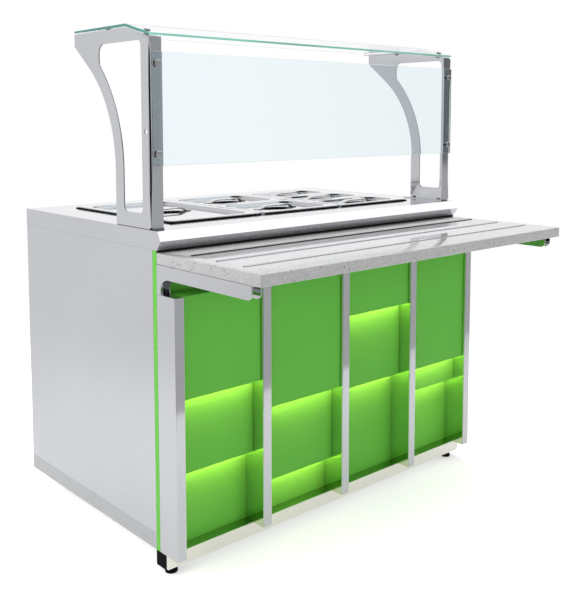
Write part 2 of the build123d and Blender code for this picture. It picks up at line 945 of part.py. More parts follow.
def make_lid(x, y, length):
    width = gn_width - 2 * lid_margin
    length = length - 2 * lid_margin
    lid_top_z = lid_z + lid_sheet
    dish_z = lid_panel_z - dish_depth
    strap_end = dish_length / 2 + strap_tab
    grip_end = strap_grip / 2
    leg_run = strap_end - grip_end
    grip_under_end = grip_end + leg_run * strap_thickness / strap_rise - strap_tab

    def frustum(outline, low_z, high_z, low_inset, high_inset, mode):
        """A lofted form between two sizes of one outline."""
        sections = []
        for z, inset in ((low_z, low_inset), (high_z, high_inset)):
            with BuildSketch(Plane.XY.offset(z)) as level:
                with Locations((x, y)):
                    outline(inset)
            sections.append(level.sketch)
        loft(sections, mode=mode)

    def panel(inset):
        RectangleRounded(width - 2 * inset, length - 2 * inset, panel_corner)

    def dish(inset):
        Ellipse(dish_length / 2 - inset, dish_width / 2 - inset)

    def sunk(outline, low_z, high_z, low_inset, high_inset):
        """One pressed hollow: its underside one sheet thickness out, then its inside."""
        frustum(outline, low_z - lid_sheet, high_z, low_inset - lid_sheet, high_inset - lid_sheet, Mode.ADD)
        frustum(outline, low_z, high_z, low_inset, high_inset, Mode.SUBTRACT)

    with BuildPart() as lid:
        with BuildSketch(Plane.XY.offset(lid_z)):
            with Locations((x, y)):
                RectangleRounded(width, length, lid_corner)
        extrude(amount=lid_sheet)
        sunk(panel, lid_panel_z, lid_top_z, lid_border + lid_lean, lid_border)
        sunk(dish, dish_z, lid_panel_z, dish_lean, 0.0)
        with BuildSketch(Plane.XZ.offset(-(y + strap_width / 2))):
            with Locations((x, lid_panel_z)):
                Polygon(
                    (-strap_end, 0),
                    (-grip_end, strap_rise),
                    (grip_end, strap_rise),
                    (strap_end, 0),
                    (strap_end - strap_tab, 0),
                    (grip_under_end, strap_rise - strap_thickness),
                    (-grip_under_end, strap_rise - strap_thickness),
                    (-strap_end + strap_tab, 0),
                    align=None,
                )
        extrude(amount=strap_width)
    return lid


def make_fascia():
    with BuildPart() as fascia:
        block((-inside_x, inside_x), (fascia_back_y, back_y), (fascia_bottom_z, edge_bottom_z))
        block(
            (-inside_x, inside_x),
            (back_y - fascia_lip, back_y),
            (fascia_bottom_z, fascia_bottom_z + sheet),
        )
        holes = (
            (control_x, bush_outer),
            (lamp_x, lamp_body_radius),
            (gland_x, gland_thread),
        )
        for x, radius in holes:
            rod(
                (x, fascia_back_y, control_z),
                (0, 1, 0),
                radius + hole_clearance,
                sheet,
                Mode.SUBTRACT,
            )
        for x in switch_xs:
            half_width = switch_width / 2 - switch_wall + hole_clearance
            half_height = switch_height / 2 - switch_wall + hole_clearance
            block(
                (x - half_width, x + half_width),
                (fascia_back_y, back_y),
                (control_z - half_height, control_z + half_height),
                Mode.SUBTRACT,
            )
    return fascia


def make_control_box():
    x_ends = (lamp_x - control_box_margin, switch_xs[-1] + control_box_margin)
    y_ends = (fascia_back_y - control_box_depth, fascia_back_y)
    z_ends = (fascia_bottom_z + 2 * sheet, edge_bottom_z - sheet)
    with BuildPart() as box:
        block(x_ends, y_ends, z_ends)
        block(
            (x_ends[0] + sheet, x_ends[1] - sheet),
            (y_ends[0] + sheet, y_ends[1] + sheet),
            (z_ends[0] + sheet, z_ends[1] - sheet),
            Mode.SUBTRACT,
        )
    return box


def make_thermostat():
    half = thermostat_size / 2
    with BuildPart() as thermostat:
        block(
            (control_x - half, control_x + half),
            (fascia_back_y - thermostat_depth, fascia_back_y),
            (control_z - half, control_z + half),
        )
        chamfer(thermostat.edges().filter_by(Axis.Y), half / 5)
        rod((control_x, fascia_back_y, control_z), (0, 1, 0), bush_outer, sheet + knob_gap / 2)
        rod(
            (control_x, back_y + knob_gap - spindle_length, control_z),
            (0, 1, 0),
            spindle_radius + running_clearance,
            spindle_length,
            Mode.SUBTRACT,
        )
    return thermostat


def make_knob():
    base_y = back_y + knob_gap
    with BuildPart() as knob:
        rod((control_x, base_y, control_z), (0, 1, 0), knob_radius, knob_skirt)
        rod((control_x, base_y, control_z), (0, 1, 0), knob_grip_radius, knob_height - knob_bar / 2)
        block(
            (control_x - knob_bar / 2, control_x + knob_bar / 2),
            (base_y, base_y + knob_height),
            (control_z - knob_grip_radius, control_z + knob_radius - knob_bar / 4),
        )
        rod(
            (control_x, base_y, control_z),
            (0, -1, 0),
            spindle_radius,
            spindle_length - knob_gap,
        )
    return knob


def make_switch_frames():
    with BuildPart() as frames:
        for x in switch_xs:
            outer_x = switch_width / 2
            outer_z = switch_height / 2
            block(
                (x - outer_x, x + outer_x),
                (back_y, back_y + switch_bezel),
                (control_z - outer_z, control_z + outer_z),
            )
            block(
                (x - outer_x + switch_wall, x + outer_x - switch_wall),
                (back_y - switch_depth, back_y),
                (control_z - outer_z + switch_wall, control_z + outer_z - switch_wall),
            )
            block(
                (x - outer_x + 2 * switch_wall, x + outer_x - 2 * switch_wall),
                (back_y - switch_depth + switch_wall, back_y + switch_bezel),
                (control_z - outer_z + 2 * switch_wall, control_z + outer_z - 2 * switch_wall),
                Mode.SUBTRACT,
            )
            rod(
                (x - outer_x + switch_wall, back_y - rocker_pivot_depth, control_z),
                (1, 0, 0),
                rocker_pin + running_clearance,
                switch_width - 2 * switch_wall,
                Mode.SUBTRACT,
            )
    return frames


def make_rocker(x):
    half_width = switch_width / 2 - 2 * switch_wall - rocker_margin
    half_height = switch_height / 2 - 2 * switch_wall - 3 * rocker_margin
    front_y = switch_bezel + rocker_reach
    lean = math.radians(rocker_tilt)
    tilted = Plane(
        origin=(x - half_width, back_y - rocker_pivot_depth, control_z),
        x_dir=(0, math.cos(lean), math.sin(lean)),
        z_dir=(1, 0, 0),
    )
    with BuildPart() as rocker:
        with BuildSketch(tilted):
            with BuildLine():
                Line((-rocker_pivot_depth, -half_height / 2), (front_y, -half_height))
                ThreePointArc(
                    (front_y, -half_height),
                    (front_y - rocker_reach / 3, 0),
                    (front_y, half_height),
                )
                Line((front_y, half_height), (-rocker_pivot_depth, half_height / 2))
                Line((-rocker_pivot_depth, half_height / 2), (-rocker_pivot_depth, -half_height / 2))
            make_face()
        extrude(amount=2 * half_width)
        pin_reach = half_width + switch_wall
        rod(
            (x - pin_reach, back_y - rocker_pivot_depth, control_z),
            (1, 0, 0),
            rocker_pin,
            2 * pin_reach,
        )
    return rocker


def make_pilot_lamp():
    with BuildPart() as lamp:
        rod(
            (lamp_x, back_y - lamp_depth, control_z),
            (0, 1, 0),
            lamp_body_radius,
            lamp_depth + lamp_dome / 2,
        )
        rod((lamp_x, back_y, control_z), (0, 1, 0), lamp_radius, lamp_dome)
        fillet(lamp.edges().filter_by(GeomType.CIRCLE).group_by(Axis.Y)[-1], lamp_dome / 2)
    return lamp


def make_cable_gland():
    with BuildPart() as gland:
        rod(
            (gland_x, fascia_back_y - 2 * gland_flange, control_z),
            (0, 1, 0),
            gland_thread,
            2 * gland_flange + sheet,
        )
        for y in (fascia_back_y - gland_flange, back_y):
            with BuildSketch(Plane(origin=(gland_x, y, control_z), z_dir=(0, 1, 0))):
                RegularPolygon(gland_hex / 2, 6, major_radius=False)
            extrude(amount=gland_flange)
        rod((gland_x, back_y, control_z), (0, 1, 0), gland_thread, gland_flange + gland_dome)
        fillet(gland.edges().filter_by(GeomType.CIRCLE).group_by(Axis.Y)[-1], gland_thread / 4)
        rod(
            (gland_x, fascia_back_y - 2 * gland_flange, control_z),
            (0, 1, 0),
            gland_bore,
            2 * gland_flange + sheet + gland_flange + gland_dome,
            Mode.SUBTRACT,
        )
    return gland


def make_drain_valve():
    centre = (drain_x, drain_y)
    with BuildPart() as valve:
        rod((*centre, tank_bottom_z - drain_collar_height), (0, 0, 1), drain_collar, drain_collar_height)
        rod((*centre, drain_end_z), (0, 0, 1), drain_pipe, tank_bottom_z - drain_end_z)
        rod((*centre, valve_top_z - valve_height), (0, 0, 1), valve_radius, valve_height)
        rod(
            (*centre, valve_z),
            (0, 1, 0),
            valve_stem,
            valve_radius + valve_stem_length,
        )
        rod(
            (*centre, valve_top_z - drain_bore),
            (0, 0, 1),
            drain_bore,
            tank_bottom_z - valve_top_z + drain_bore,
            Mode.SUBTRACT,
        )
        rod((*centre, drain_end_z), (0, 0, 1), drain_bore, drain_tail, Mode.SUBTRACT)
    return valve


def make_drain_lever():
    face_y = drain_y + valve_radius + seat_gap
    with BuildPart() as lever:
        rod((drain_x, face_y, valve_z), (0, 1, 0), lever_hub, lever_thickness)
        block(
            (drain_x, drain_x + lever_length),
            (face_y, face_y + lever_thickness),
            (valve_z - lever_width / 2, valve_z + lever_width / 2),
        )
        grip_y = face_y + lever_thickness / 2
        block(
            (drain_x + lever_length - grip_length, drain_x + lever_length),
            (grip_y - grip_thickness / 2, grip_y + grip_thickness / 2),
            (valve_z - lever_width / 2 - sheet, valve_z + lever_width / 2 + sheet),
        )
        fillet(lever.edges().filter_by(Axis.X).group_by(Axis.Z)[0], grip_thickness / 4)
        rod(
            (drain_x, face_y, valve_z),
            (0, 1, 0),
            valve_stem + running_clearance,
            lever_thickness,
            Mode.SUBTRACT,
        )
    return lever


os.makedirs("parts", exist_ok=True)

save(make_worktop(), "worktop")
save(make_side_panel(-1), "side_panel_left")
save(make_side_panel(1), "side_panel_right")
save(make_base_tray(), "base_tray")
save(make_front_board(), "front_board")
save(make_legs(), "legs")
for place, centre in leg_places.items():
    save(make_foot(*centre), f"levelling_foot_{place}")

save(make_fins(), "front_fins")
save(make_bay_liners(), "bay_liners")
for bay in range(len(bays)):
    save(make_upper_panel(bay), f"upper_panel_{bay + 1}")
    save(make_middle_panel(bay), f"middle_panel_{bay + 1}")
save(make_led_strips(), "led_strips")
save(make_led_driver(), "led_driver")
save(make_plinth(), "plinth")

save(make_tray_slab(), "tray_slab")
save(make_runners(), "tray_runners")
save(make_tray_bracket(-1), "tray_bracket_left")
save(make_tray_bracket(1), "tray_bracket_right")

save(make_guard_bracket(-1), "guard_bracket_left")
save(make_guard_bracket(1), "guard_bracket_right")
save(make_shelf_glass(), "shelf_glass")
save(make_front_glass(), "front_glass")
save(make_guard_bolts(), "guard_bolts")

save(make_well_tank(), "well_tank")
save(make_insulation(), "insulation_boards")
save(make_heaters(), "heating_elements")
save(make_pan_bars(), "pan_bars")
save(make_well_seal(), "well_seal")
for name, (x, y, length) in pan_places().items():
    save(make_pan(x, y, length), f"pan_{name}")
    save(make_lid(x, y, length), f"lid_{name}")

save(make_fascia(), "control_fascia")
save(make_control_box(), "control_box")
save(make_thermostat(), "thermostat")
save(make_knob(), "thermostat_knob")
save(make_switch_frames(), "switch_frames")
save(make_rocker(switch_xs[0]), "power_switch")
save(make_rocker(switch_xs[1]), "light_switch")
save(make_pilot_lamp(), "pilot_lamp")
save(make_cable_gland(), "cable_gland")
save(make_drain_valve(), "drain_valve")
save(make_drain_lever(), "drain_lever")
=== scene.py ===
import bpy
import bmesh
import math
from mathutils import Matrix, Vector


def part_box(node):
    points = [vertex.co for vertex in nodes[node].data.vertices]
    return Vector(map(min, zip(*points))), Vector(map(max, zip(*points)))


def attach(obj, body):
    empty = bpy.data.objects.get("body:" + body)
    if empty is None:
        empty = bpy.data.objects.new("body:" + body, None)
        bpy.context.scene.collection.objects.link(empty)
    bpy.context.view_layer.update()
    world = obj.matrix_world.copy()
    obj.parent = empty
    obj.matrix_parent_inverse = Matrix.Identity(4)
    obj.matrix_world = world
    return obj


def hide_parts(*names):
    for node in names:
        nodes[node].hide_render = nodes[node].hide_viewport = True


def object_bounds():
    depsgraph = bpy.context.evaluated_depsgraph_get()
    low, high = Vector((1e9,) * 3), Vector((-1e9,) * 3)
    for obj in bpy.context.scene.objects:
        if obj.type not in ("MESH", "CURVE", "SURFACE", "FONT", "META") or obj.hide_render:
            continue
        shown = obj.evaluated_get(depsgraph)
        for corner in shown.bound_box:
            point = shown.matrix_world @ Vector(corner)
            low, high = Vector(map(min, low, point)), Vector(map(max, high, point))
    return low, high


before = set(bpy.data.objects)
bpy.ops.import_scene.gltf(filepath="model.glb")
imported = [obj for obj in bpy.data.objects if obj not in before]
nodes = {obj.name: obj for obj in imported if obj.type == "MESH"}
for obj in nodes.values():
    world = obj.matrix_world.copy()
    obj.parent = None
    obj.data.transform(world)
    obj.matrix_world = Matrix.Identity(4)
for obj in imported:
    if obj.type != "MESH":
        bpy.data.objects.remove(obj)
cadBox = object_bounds()
mm = 0.001
touch = 0.0001  # metres: closer than this is the same place
weldGap = 0.00002  # metres
levelAngle = math.radians(0.5)  # faces that lean less than this are one flat
foldAngle = 32.0  # degrees: a sharper edge is rounded
upward, backward = (0, 0, 1), (0, 1, 0)
scene = bpy.context.scene
print("frame loaded:", len(nodes), "nodes")


# shader helpers

def plug(tree, value, socket):  # a link, or a plain value
    if isinstance(value, bpy.types.NodeSocket):
        tree.links.new(value, socket)
    elif value is not None:
        socket.default_value = value


def addNode(tree, kind, inputs=None, **settings):
    made = tree.nodes.new("ShaderNode" + kind)
    for key, value in settings.items():
        setattr(made, key, value)
    for key, value in (inputs or {}).items():
        plug(tree, value, made.inputs[key])
    return made


socketNames = {
    "colour": "Base Color", "metal": "Metallic", "rough": "Roughness", "coat": "Coat Weight",
    "coatRough": "Coat Roughness", "ior": "IOR", "through": "Transmission Weight", "grainPull": "Anisotropic",
    "glowColour": "Emission Color", "glow": "Emission Strength", "sheen": "Sheen Weight",
    "specular": "Specular IOR Level", "bump": "Normal",
}


def setSockets(mat, **sockets):
    shader = mat.node_tree.nodes["Principled BSDF"]
    for key, value in sockets.items():
        plug(mat.node_tree, value, shader.inputs[socketNames[key]])
    return mat


def startMaterial(name, **sockets):
    mat = bpy.data.materials.new(name)
    mat.use_nodes = True
    setSockets(mat, **sockets)
    return mat, mat.node_tree


def stretched(tree, scale):  # the piece's own coordinates, with one scale or one for each axis
    scales = scale if isinstance(scale, (list, tuple)) else (scale,) * 3
    place = addNode(tree, "TexCoord").outputs["Object"]
    return addNode(tree, "Mapping", {"Vector": place, "Scale": scales}).outputs[0]


def noise(tree, scale, detail=4.0, rough=0.55):
    return addNode(tree, "TexNoise", {
        "Vector": stretched(tree, scale), "Scale": 1.0, "Detail": detail, "Roughness": rough}).outputs["Fac"]


def remap(tree, value, span, to=(0.0, 1.0), ease="LINEAR"):
    return addNode(tree, "MapRange", {
        "Value": value, "From Min": span[0], "From Max": span[1], "To Min": to[0], "To Max": to[1]},
        interpolation_type=ease).outputs[0]


def eased(tree, value, span, to=(0.0, 1.0)):
    return remap(tree, value, span, to, "SMOOTHSTEP")


def calc(tree, operation, first, second=None):
    return addNode(tree, "Math", {0: first, 1: second}, operation=operation).outputs[0]


def plus(tree, first, second):
    return calc(tree, "ADD", first, second)


def times(tree, first, second):
    return calc(tree, "MULTIPLY", first, second)


def without(tree, share):  # what a share leaves of one
    return calc(tree, "SUBTRACT", 1.0, share)


def between(tree, share, first, second):  # numbers: all of the first at 0, all of the second at 1
    return plus(tree, times(tree, first, without(tree, share)), times(tree, share, second))


def vectorCalc(tree, operation, first, second=None):
    made = addNode(tree, "VectorMath", {0: first, 1: second}, operation=operation)
    return made.outputs["Value" if operation in ("DOT_PRODUCT", "LENGTH") else "Vector"]


def axes(tree, vector):
    return addNode(tree, "SeparateXYZ", {0: vector}).outputs


def surface(tree, what):  # axes of the surface's Normal or Position
    return axes(tree, addNode(tree, "NewGeometry").outputs[what])


def blendColours(tree, factor, first, second):
    return addNode(tree, "Mix", {0: factor, 6: first, 7: second}, data_type="RGBA").outputs[2]


def bumped(tree, height, distance):
    return addNode(tree, "Bump", {"Height": height, "Distance": distance, "Strength": 1.0}).outputs[0]


def shade(colour, share):
    return tuple(c * share for c in colour[:3]) + (1.0,)


def drifting(tree, factor, span, colour, tones):  # one colour between two brightnesses
    return blendColours(tree, remap(tree, factor, span), shade(colour, tones[0]), shade(colour, tones[1]))


# finishes: scales are in cells per metre, depths in metres

fineSpan, broadSpan, wipedSpan = (0.3, 0.7), (0.35, 0.65), (0.35, 0.7)  # where the noise really lies
summedSpan = (0.75, 1.3)  # two noises added
brushed = {
    "colour": (0.605, 0.615, 0.64), "rough": (0.06, 0.10), "along": 5.0, "across": 1100.0, "cloud": 3.0,
    "smear": (14.0, 14.0, 9.0), "scratchTone": (0.975, 1.02), "cloudTone": (0.985, 1.015),
    "depth": 0.000003, "pull": 0.2,
}


def brushedSteel(name, along, colour=brushed["colour"], rough=brushed["rough"]):
    b = brushed
    mat, tree = startMaterial(name, metal=1.0, grainPull=b["pull"])
    scratch = noise(tree, [b["along"] if axis == along else b["across"] for axis in "XYZ"], 3.0, 0.6)
    cloud = noise(tree, b["cloud"], 3.0)
    smear = noise(tree, b["smear"], 5.0, 0.65)  # wiped-dry traces
    base = drifting(tree, cloud, broadSpan, colour, b["cloudTone"])
    return setSockets(
        mat, bump=bumped(tree, scratch, b["depth"]),
        colour=vectorCalc(tree, "MULTIPLY", base, remap(tree, scratch, fineSpan, b["scratchTone"])),
        rough=remap(tree, plus(tree, scratch, smear), summedSpan, rough))


polish = {
    "colour": (0.66, 0.67, 0.69), "tones": (0.97, 1.0), "cloth": 18.0, "hair": (40.0, 900.0, 900.0),
    "depth": 0.000003, "rough": (0.08, 0.15), "mirrorRough": (0.02, 0.05),
}


def clothMarks(tree):
    return noise(tree, polish["cloth"], 5.0, 0.65)


def clothTones(tree, wipe, colour):
    return drifting(tree, wipe, wipedSpan, colour, polish["tones"])


def polishedSteel(name, colour=polish["colour"], rough=polish["rough"]):
    mat, tree = startMaterial(name, metal=1.0)
    hair = noise(tree, polish["hair"], 2.0)
    wipe = clothMarks(tree)
    return setSockets(
        mat, colour=clothTones(tree, wipe, colour), bump=bumped(tree, hair, polish["depth"]),
        rough=remap(tree, plus(tree, hair, wipe), summedSpan, rough))


paintedWallShade = {"steep": (0.70, 0.96), "corner": (0.26, 0.40)}


def pressedSteel(name, sideDark, endDark, cornerDark):  # painted reflection: steep drawn walls darkened in the colour for the dark room they mirror, tight corners most
    mat, tree = startMaterial(name, metal=1.0)
    acrossX, acrossY, upright = [calc(tree, "ABSOLUTE", axis) for axis in surface(tree, "Normal")]
    wipe = clothMarks(tree)
    # painted reflection: the colour darkens on steep walls, along the ends and in the corners
    steep = remap(tree, upright, paintedWallShade["steep"], (1.0, 0.0))
    paintedDark = plus(tree, times(tree, acrossY, endDark), sideDark)
    corner = eased(tree, times(tree, acrossX, acrossY), paintedWallShade["corner"], (0.0, cornerDark))
    paintedShadeFactor = without(tree, times(tree, steep, plus(tree, paintedDark, corner)))
    return setSockets(
        mat, colour=vectorCalc(tree, "MULTIPLY", clothTones(tree, wipe, polish["colour"]), paintedShadeFactor),
        rough=remap(tree, wipe, wipedSpan, polish["mirrorRough"]))


def linerSteel(name, wall, floor, level=(0.5, 0.9)):  # polished liners with painted reflection: the steel tinted green for the panels it mirrors, the bay floors painted darker than the cheeks
    mat, tree = startMaterial(name, metal=1.0)
    wipe = clothMarks(tree)
    flat = remap(tree, surface(tree, "Normal")[2], level)
    return setSockets(
        mat, colour=blendColours(tree, flat, clothTones(tree, wipe, wall), floor),
        rough=remap(tree, wipe, wipedSpan, polish["mirrorRough"]))


runner = {
    "front": (0.42, 0.42, 0.43, 1.0), "rear": (0.03, 0.03, 0.03, 1.0), "rough": (0.02, 0.06),
    "change": (-0.34, -0.33),  # between the middle rod and the rear one, along Y
}


def runnerSteel(name):  # inlaid rods, the rear one painted near black: painted reflection of the nosing's dark underside
    mat, tree = startMaterial(name, metal=1.0)
    # painted reflection: front rods light, the rear rod near black
    rear = remap(tree, surface(tree, "Position")[1], runner["change"])
    return setSockets(
        mat, colour=blendColours(tree, rear, runner["front"], runner["rear"]),
        rough=remap(tree, clothMarks(tree), wipedSpan, runner["rough"]))


lacquer = {"peel": 420.0, "cloud": 4.0, "tones": (0.98, 1.02), "roughSpread": 0.06, "depth": 0.000015}


def greenLacquer(name, colour, rough=0.5):
    mat, tree = startMaterial(name, specular=0.28)
    peel = noise(tree, lacquer["peel"], 2.0)  # sprayed coat
    cloud = noise(tree, lacquer["cloud"], 3.0)
    low, high = rough - lacquer["roughSpread"], rough + lacquer["roughSpread"]
    return setSockets(
        mat, colour=drifting(tree, cloud, broadSpan, colour, lacquer["tones"]),
        rough=remap(tree, peel, fineSpan, (low, high)), bump=bumped(tree, peel, lacquer["depth"]))


stoneMix = {
    "base": (0.39, 0.39, 0.395, 1.0), "cloud": 26.0, "cloudSpan": (0.35, 0.68), "cloudTone": (0.95, 1.05),
    "grainEdge": (0.30, 0.48), "polish": 160.0, "rough": (0.30, 0.42), "depth": 0.00001,
    "grains": [  # cells per metre, share of cells, colour
        (210.0, 0.20, (0.52, 0.52, 0.51, 1.0)), (250.0, 0.20, (0.33, 0.33, 0.33, 1.0)),
        (520.0, 0.24, (0.55, 0.55, 0.54, 1.0)), (640.0, 0.22, (0.27, 0.27, 0.27, 1.0)),
        (360.0, 0.07, (0.15, 0.15, 0.15, 1.0)), (230.0, 0.03, (0.06, 0.06, 0.06, 1.0)),
    ],
}


def speckledStone(name):
    s = stoneMix
    mat, tree = startMaterial(name, coat=1.0, coatRough=0.03, specular=0.3)
    place = stretched(tree, 1.0)
    tone = drifting(tree, noise(tree, s["cloud"], 5.0, 0.6), s["cloudSpan"], s["base"], s["cloudTone"])
    for scale, share, colour in s["grains"]:
        cells = addNode(tree, "TexVoronoi", {"Vector": place, "Scale": scale, "Randomness": 1.0})
        pick = addNode(tree, "SeparateColor", {0: cells.outputs["Color"]}).outputs[0]
        chosen = calc(tree, "LESS_THAN", pick, share)
        grain = remap(tree, cells.outputs["Distance"], s["grainEdge"], (1.0, 0.0))
        tone = blendColours(tree, times(tree, chosen, grain), tone, colour)
    polished = noise(tree, s["polish"], 3.0)
    return setSockets(
        mat, colour=tone, rough=remap(tree, polished, fineSpan, s["rough"]),
        bump=bumped(tree, polished, s["depth"]))


sheetGlass = {
    "ior": 1.45, "film": 9.0, "filmSpan": (0.5, 0.8), "filmRough": (0.0, 0.012),
    "drift": 2.2, "driftTone": (0.75, 1.35), "grind": 260.0, "grindRough": (0.08, 0.18),
}


def clearGlass(name, tint):
    g = sheetGlass
    mat, tree = startMaterial(name, colour=tint, through=1.0, rough=0.0, ior=g["ior"])
    film = noise(tree, g["film"], 5.0, 0.6)  # faint wiping film
    return setSockets(mat, rough=remap(tree, film, g["filmSpan"], g["filmRough"]))


def glassEdge(name, colour, clear=0.25):
    g = sheetGlass
    mat, tree = startMaterial(name, coat=0.6, coatRough=0.05, through=clear, ior=g["ior"])
    drift = noise(tree, g["drift"], 2.0)  # the green deepens along the sheet
    grind = noise(tree, g["grind"], 3.0)
    return setSockets(
        mat, colour=drifting(tree, drift, broadSpan, colour, g["driftTone"]),
        rough=remap(tree, grind, fineSpan, g["grindRough"]))


plasticTone = {"wipe": 30.0, "tones": (0.85, 1.1)}


def mouldedPlastic(name, colour, rough=(0.4, 0.55), grain=900.0, depth=0.00003, **extra):
    mat, tree = startMaterial(name, **extra)
    fine = noise(tree, grain, 2.0)
    wipe = noise(tree, plasticTone["wipe"], 4.0)
    low, high = (shade(colour, tone) for tone in plasticTone["tones"])
    return setSockets(
        mat, colour=blendColours(tree, wipe, low, high),
        rough=remap(tree, wipe, fineSpan, rough), bump=bumped(tree, fine, depth))


woolMix = {
    "strands": (220.0, 900.0, 700.0), "strandSpan": (0.4, 0.7), "strandShare": (0.0, 0.5), "clumps": 60.0,
    "dark": (0.30, 0.25, 0.15, 1.0), "light": (0.52, 0.45, 0.30, 1.0), "strand": (0.65, 0.60, 0.45, 1.0),
    "depth": 0.0006,
}


def pressedWool(name):
    w = woolMix
    mat, tree = startMaterial(name, rough=0.95, sheen=0.3)
    strands = noise(tree, w["strands"], 5.0, 0.7)
    base = blendColours(tree, noise(tree, w["clumps"], 4.0), w["dark"], w["light"])
    share = remap(tree, strands, w["strandSpan"], w["strandShare"])
    return setSockets(
        mat, colour=blendColours(tree, share, base, w["strand"]),
        bump=bumped(tree, strands, w["depth"]))


stripTone = {
    "lamps": 120.0, "glow": (1.0, 2.2), "glowColour": (1.0, 0.85, 0.45, 1.0),
    "gap": (0.85, 0.9, 0.6, 1.0), "lamp": (1.0, 1.0, 0.9, 1.0),
}


def lightStrip(name):
    s = stripTone
    mat, tree = startMaterial(name, rough=0.35, glowColour=s["glowColour"])
    along = axes(tree, stretched(tree, (s["lamps"], 1.0, 1.0)))[0]
    dots = calc(tree, "SINE", times(tree, along, math.tau))  # one lamp every 8 mm or so
    wave = (-1.0, 1.0)
    return setSockets(
        mat, glow=remap(tree, dots, wave, s["glow"]),
        colour=blendColours(tree, remap(tree, dots, wave), s["gap"], s["lamp"]))


finishRows = {
    brushedSteel: {
        "sideSteel": dict(along="Y"), "topSteel": dict(along="X"), "uprightSteel": dict(along="Z"),
        "cutSteel": dict(along="X", colour=(0.20, 0.20, 0.21), rough=(0.28, 0.4)),
        # the front fold's crown: steel painted near black as a painted reflection of the dark room
        "foldSteel": dict(along="Z", colour=(0.03, 0.03, 0.04)),
        "traySteel": dict(along="X", colour=(0.55, 0.56, 0.57), rough=(0.30, 0.42)),
        "tankSteel": dict(along="X", colour=(0.80, 0.81, 0.82), rough=(0.32, 0.46)),
        # painted reflection: the plinth's steel tinted cream and brightened for the LED-lit floor it mirrors
        "plinthSteel": dict(along="X", colour=(0.87, 0.85, 0.78), rough=(0.10, 0.16)),
        "heaterTube": dict(along="Y", colour=(0.30, 0.25, 0.22), rough=(0.35, 0.5)),
        "driverCase": dict(along="X", colour=(0.62, 0.62, 0.63), rough=(0.35, 0.5)),
        "brass": dict(along="Z", colour=(0.60, 0.47, 0.22), rough=(0.25, 0.4)),
    },
    pressedSteel: {
        "lidSteel": dict(sideDark=0.05, endDark=0.35, cornerDark=0.60),
        "dishSteel": dict(sideDark=0.70, endDark=0.22, cornerDark=0.0),
    },
    polishedSteel: {"panSteel": dict(rough=(0.12, 0.22)), "boltSteel": dict(colour=(0.55, 0.55, 0.57))},
    # painted reflection: liner steel tinted green, darker on the bay floors
    linerSteel: {"mirrorSteel": dict(wall=(0.62, 0.76, 0.50), floor=(0.40, 0.52, 0.30, 1.0))},
    runnerSteel: {"runnerSteel": {}},
    greenLacquer: {
        "greenPanel": dict(colour=(0.106, 0.430, 0.045)),
        # the board's own green, painted brighter to make up for the shade in the recessed bays
        "greenBoard": dict(colour=(0.117, 0.462, 0.048), rough=0.45),
    },
    speckledStone: {"stone": {}},
    clearGlass: {
        "paneGlass": dict(tint=(0.896, 0.969, 0.994, 1.0)),
        "shelfGlass": dict(tint=(0.955, 0.985, 0.997, 1.0)),
    },
    glassEdge: {
        "paneEdge": dict(colour=(0.62, 0.76, 0.74), clear=0.85), "longEdge": dict(colour=(0.27, 0.66, 0.55)),
        "glassEdge": dict(colour=(0.03, 0.22, 0.19)),
    },
    mouldedPlastic: {
        "blackRubber": dict(
            colour=(0.005, 0.005, 0.005), rough=(0.6, 0.8), grain=700.0, depth=0.00005, specular=0.1),
        "blackCoat": dict(colour=(0.003, 0.003, 0.004), rough=(0.35, 0.5), grain=600.0, specular=0.03),
        "blackPlastic": dict(colour=(0.018, 0.018, 0.019)),
        "rockerGreen": dict(colour=(0.02, 0.28, 0.06), rough=(0.15, 0.25), coat=0.4),
        "rockerWhite": dict(colour=(0.62, 0.62, 0.58), rough=(0.2, 0.3), coat=0.3),
        "lampLens": dict(
            colour=(0.80, 0.30, 0.02), rough=(0.08, 0.15), grain=60.0, depth=0.0001, through=0.4,
            glowColour=(1.0, 0.35, 0.03, 1.0), glow=0.4),
        "redGrip": dict(colour=(0.42, 0.02, 0.015), rough=(0.25, 0.4), grain=300.0, depth=0.00004, coat=0.3),
        "whiteMark": dict(colour=(0.80, 0.80, 0.78), rough=(0.4, 0.5)),
    },
    pressedWool: {"wool": {}},
    lightStrip: {"ledLens": {}},
}
finishes = {}
for makeFinish, kinds in finishRows.items():
    for name, settings in kinds.items():
        finishes[name] = makeFinish(name, **settings)
print("finishes made:", len(finishes))


# mesh helpers

def addPiece(name, bm, finishNames, body="counter", replaced=None, smooth=35.0):
    mesh = bpy.data.meshes.new(name)
    bmesh.ops.recalc_face_normals(bm, faces=bm.faces)
    bm.to_mesh(mesh)
    bm.free()
    for finish in finishNames:
        mesh.materials.append(finishes[finish])
    mesh.polygons.foreach_set("use_smooth", [True] * len(mesh.polygons))
    mesh.set_sharp_from_angle(angle=math.radians(smooth))
    obj = bpy.data.objects.new(name, mesh)
    scene.collection.objects.link(obj)
    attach(obj, body)
    if replaced:
        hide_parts(replaced)
    return obj


def softEdges(obj, width, rounds=2, angle=foldAngle):
    soft = obj.modifiers.new("soft", "BEVEL")
    soft.width = width * mm
    soft.segments = rounds
    soft.limit_method = "ANGLE"
    soft.angle_limit = math.radians(angle)
    evenFaces(obj)


def evenFaces(obj):  # flat faces mirror as flat, only the rounded edges curve
    even = obj.modifiers.new("even", "WEIGHTED_NORMAL")
    even.weight = 100
    even.keep_sharp = True


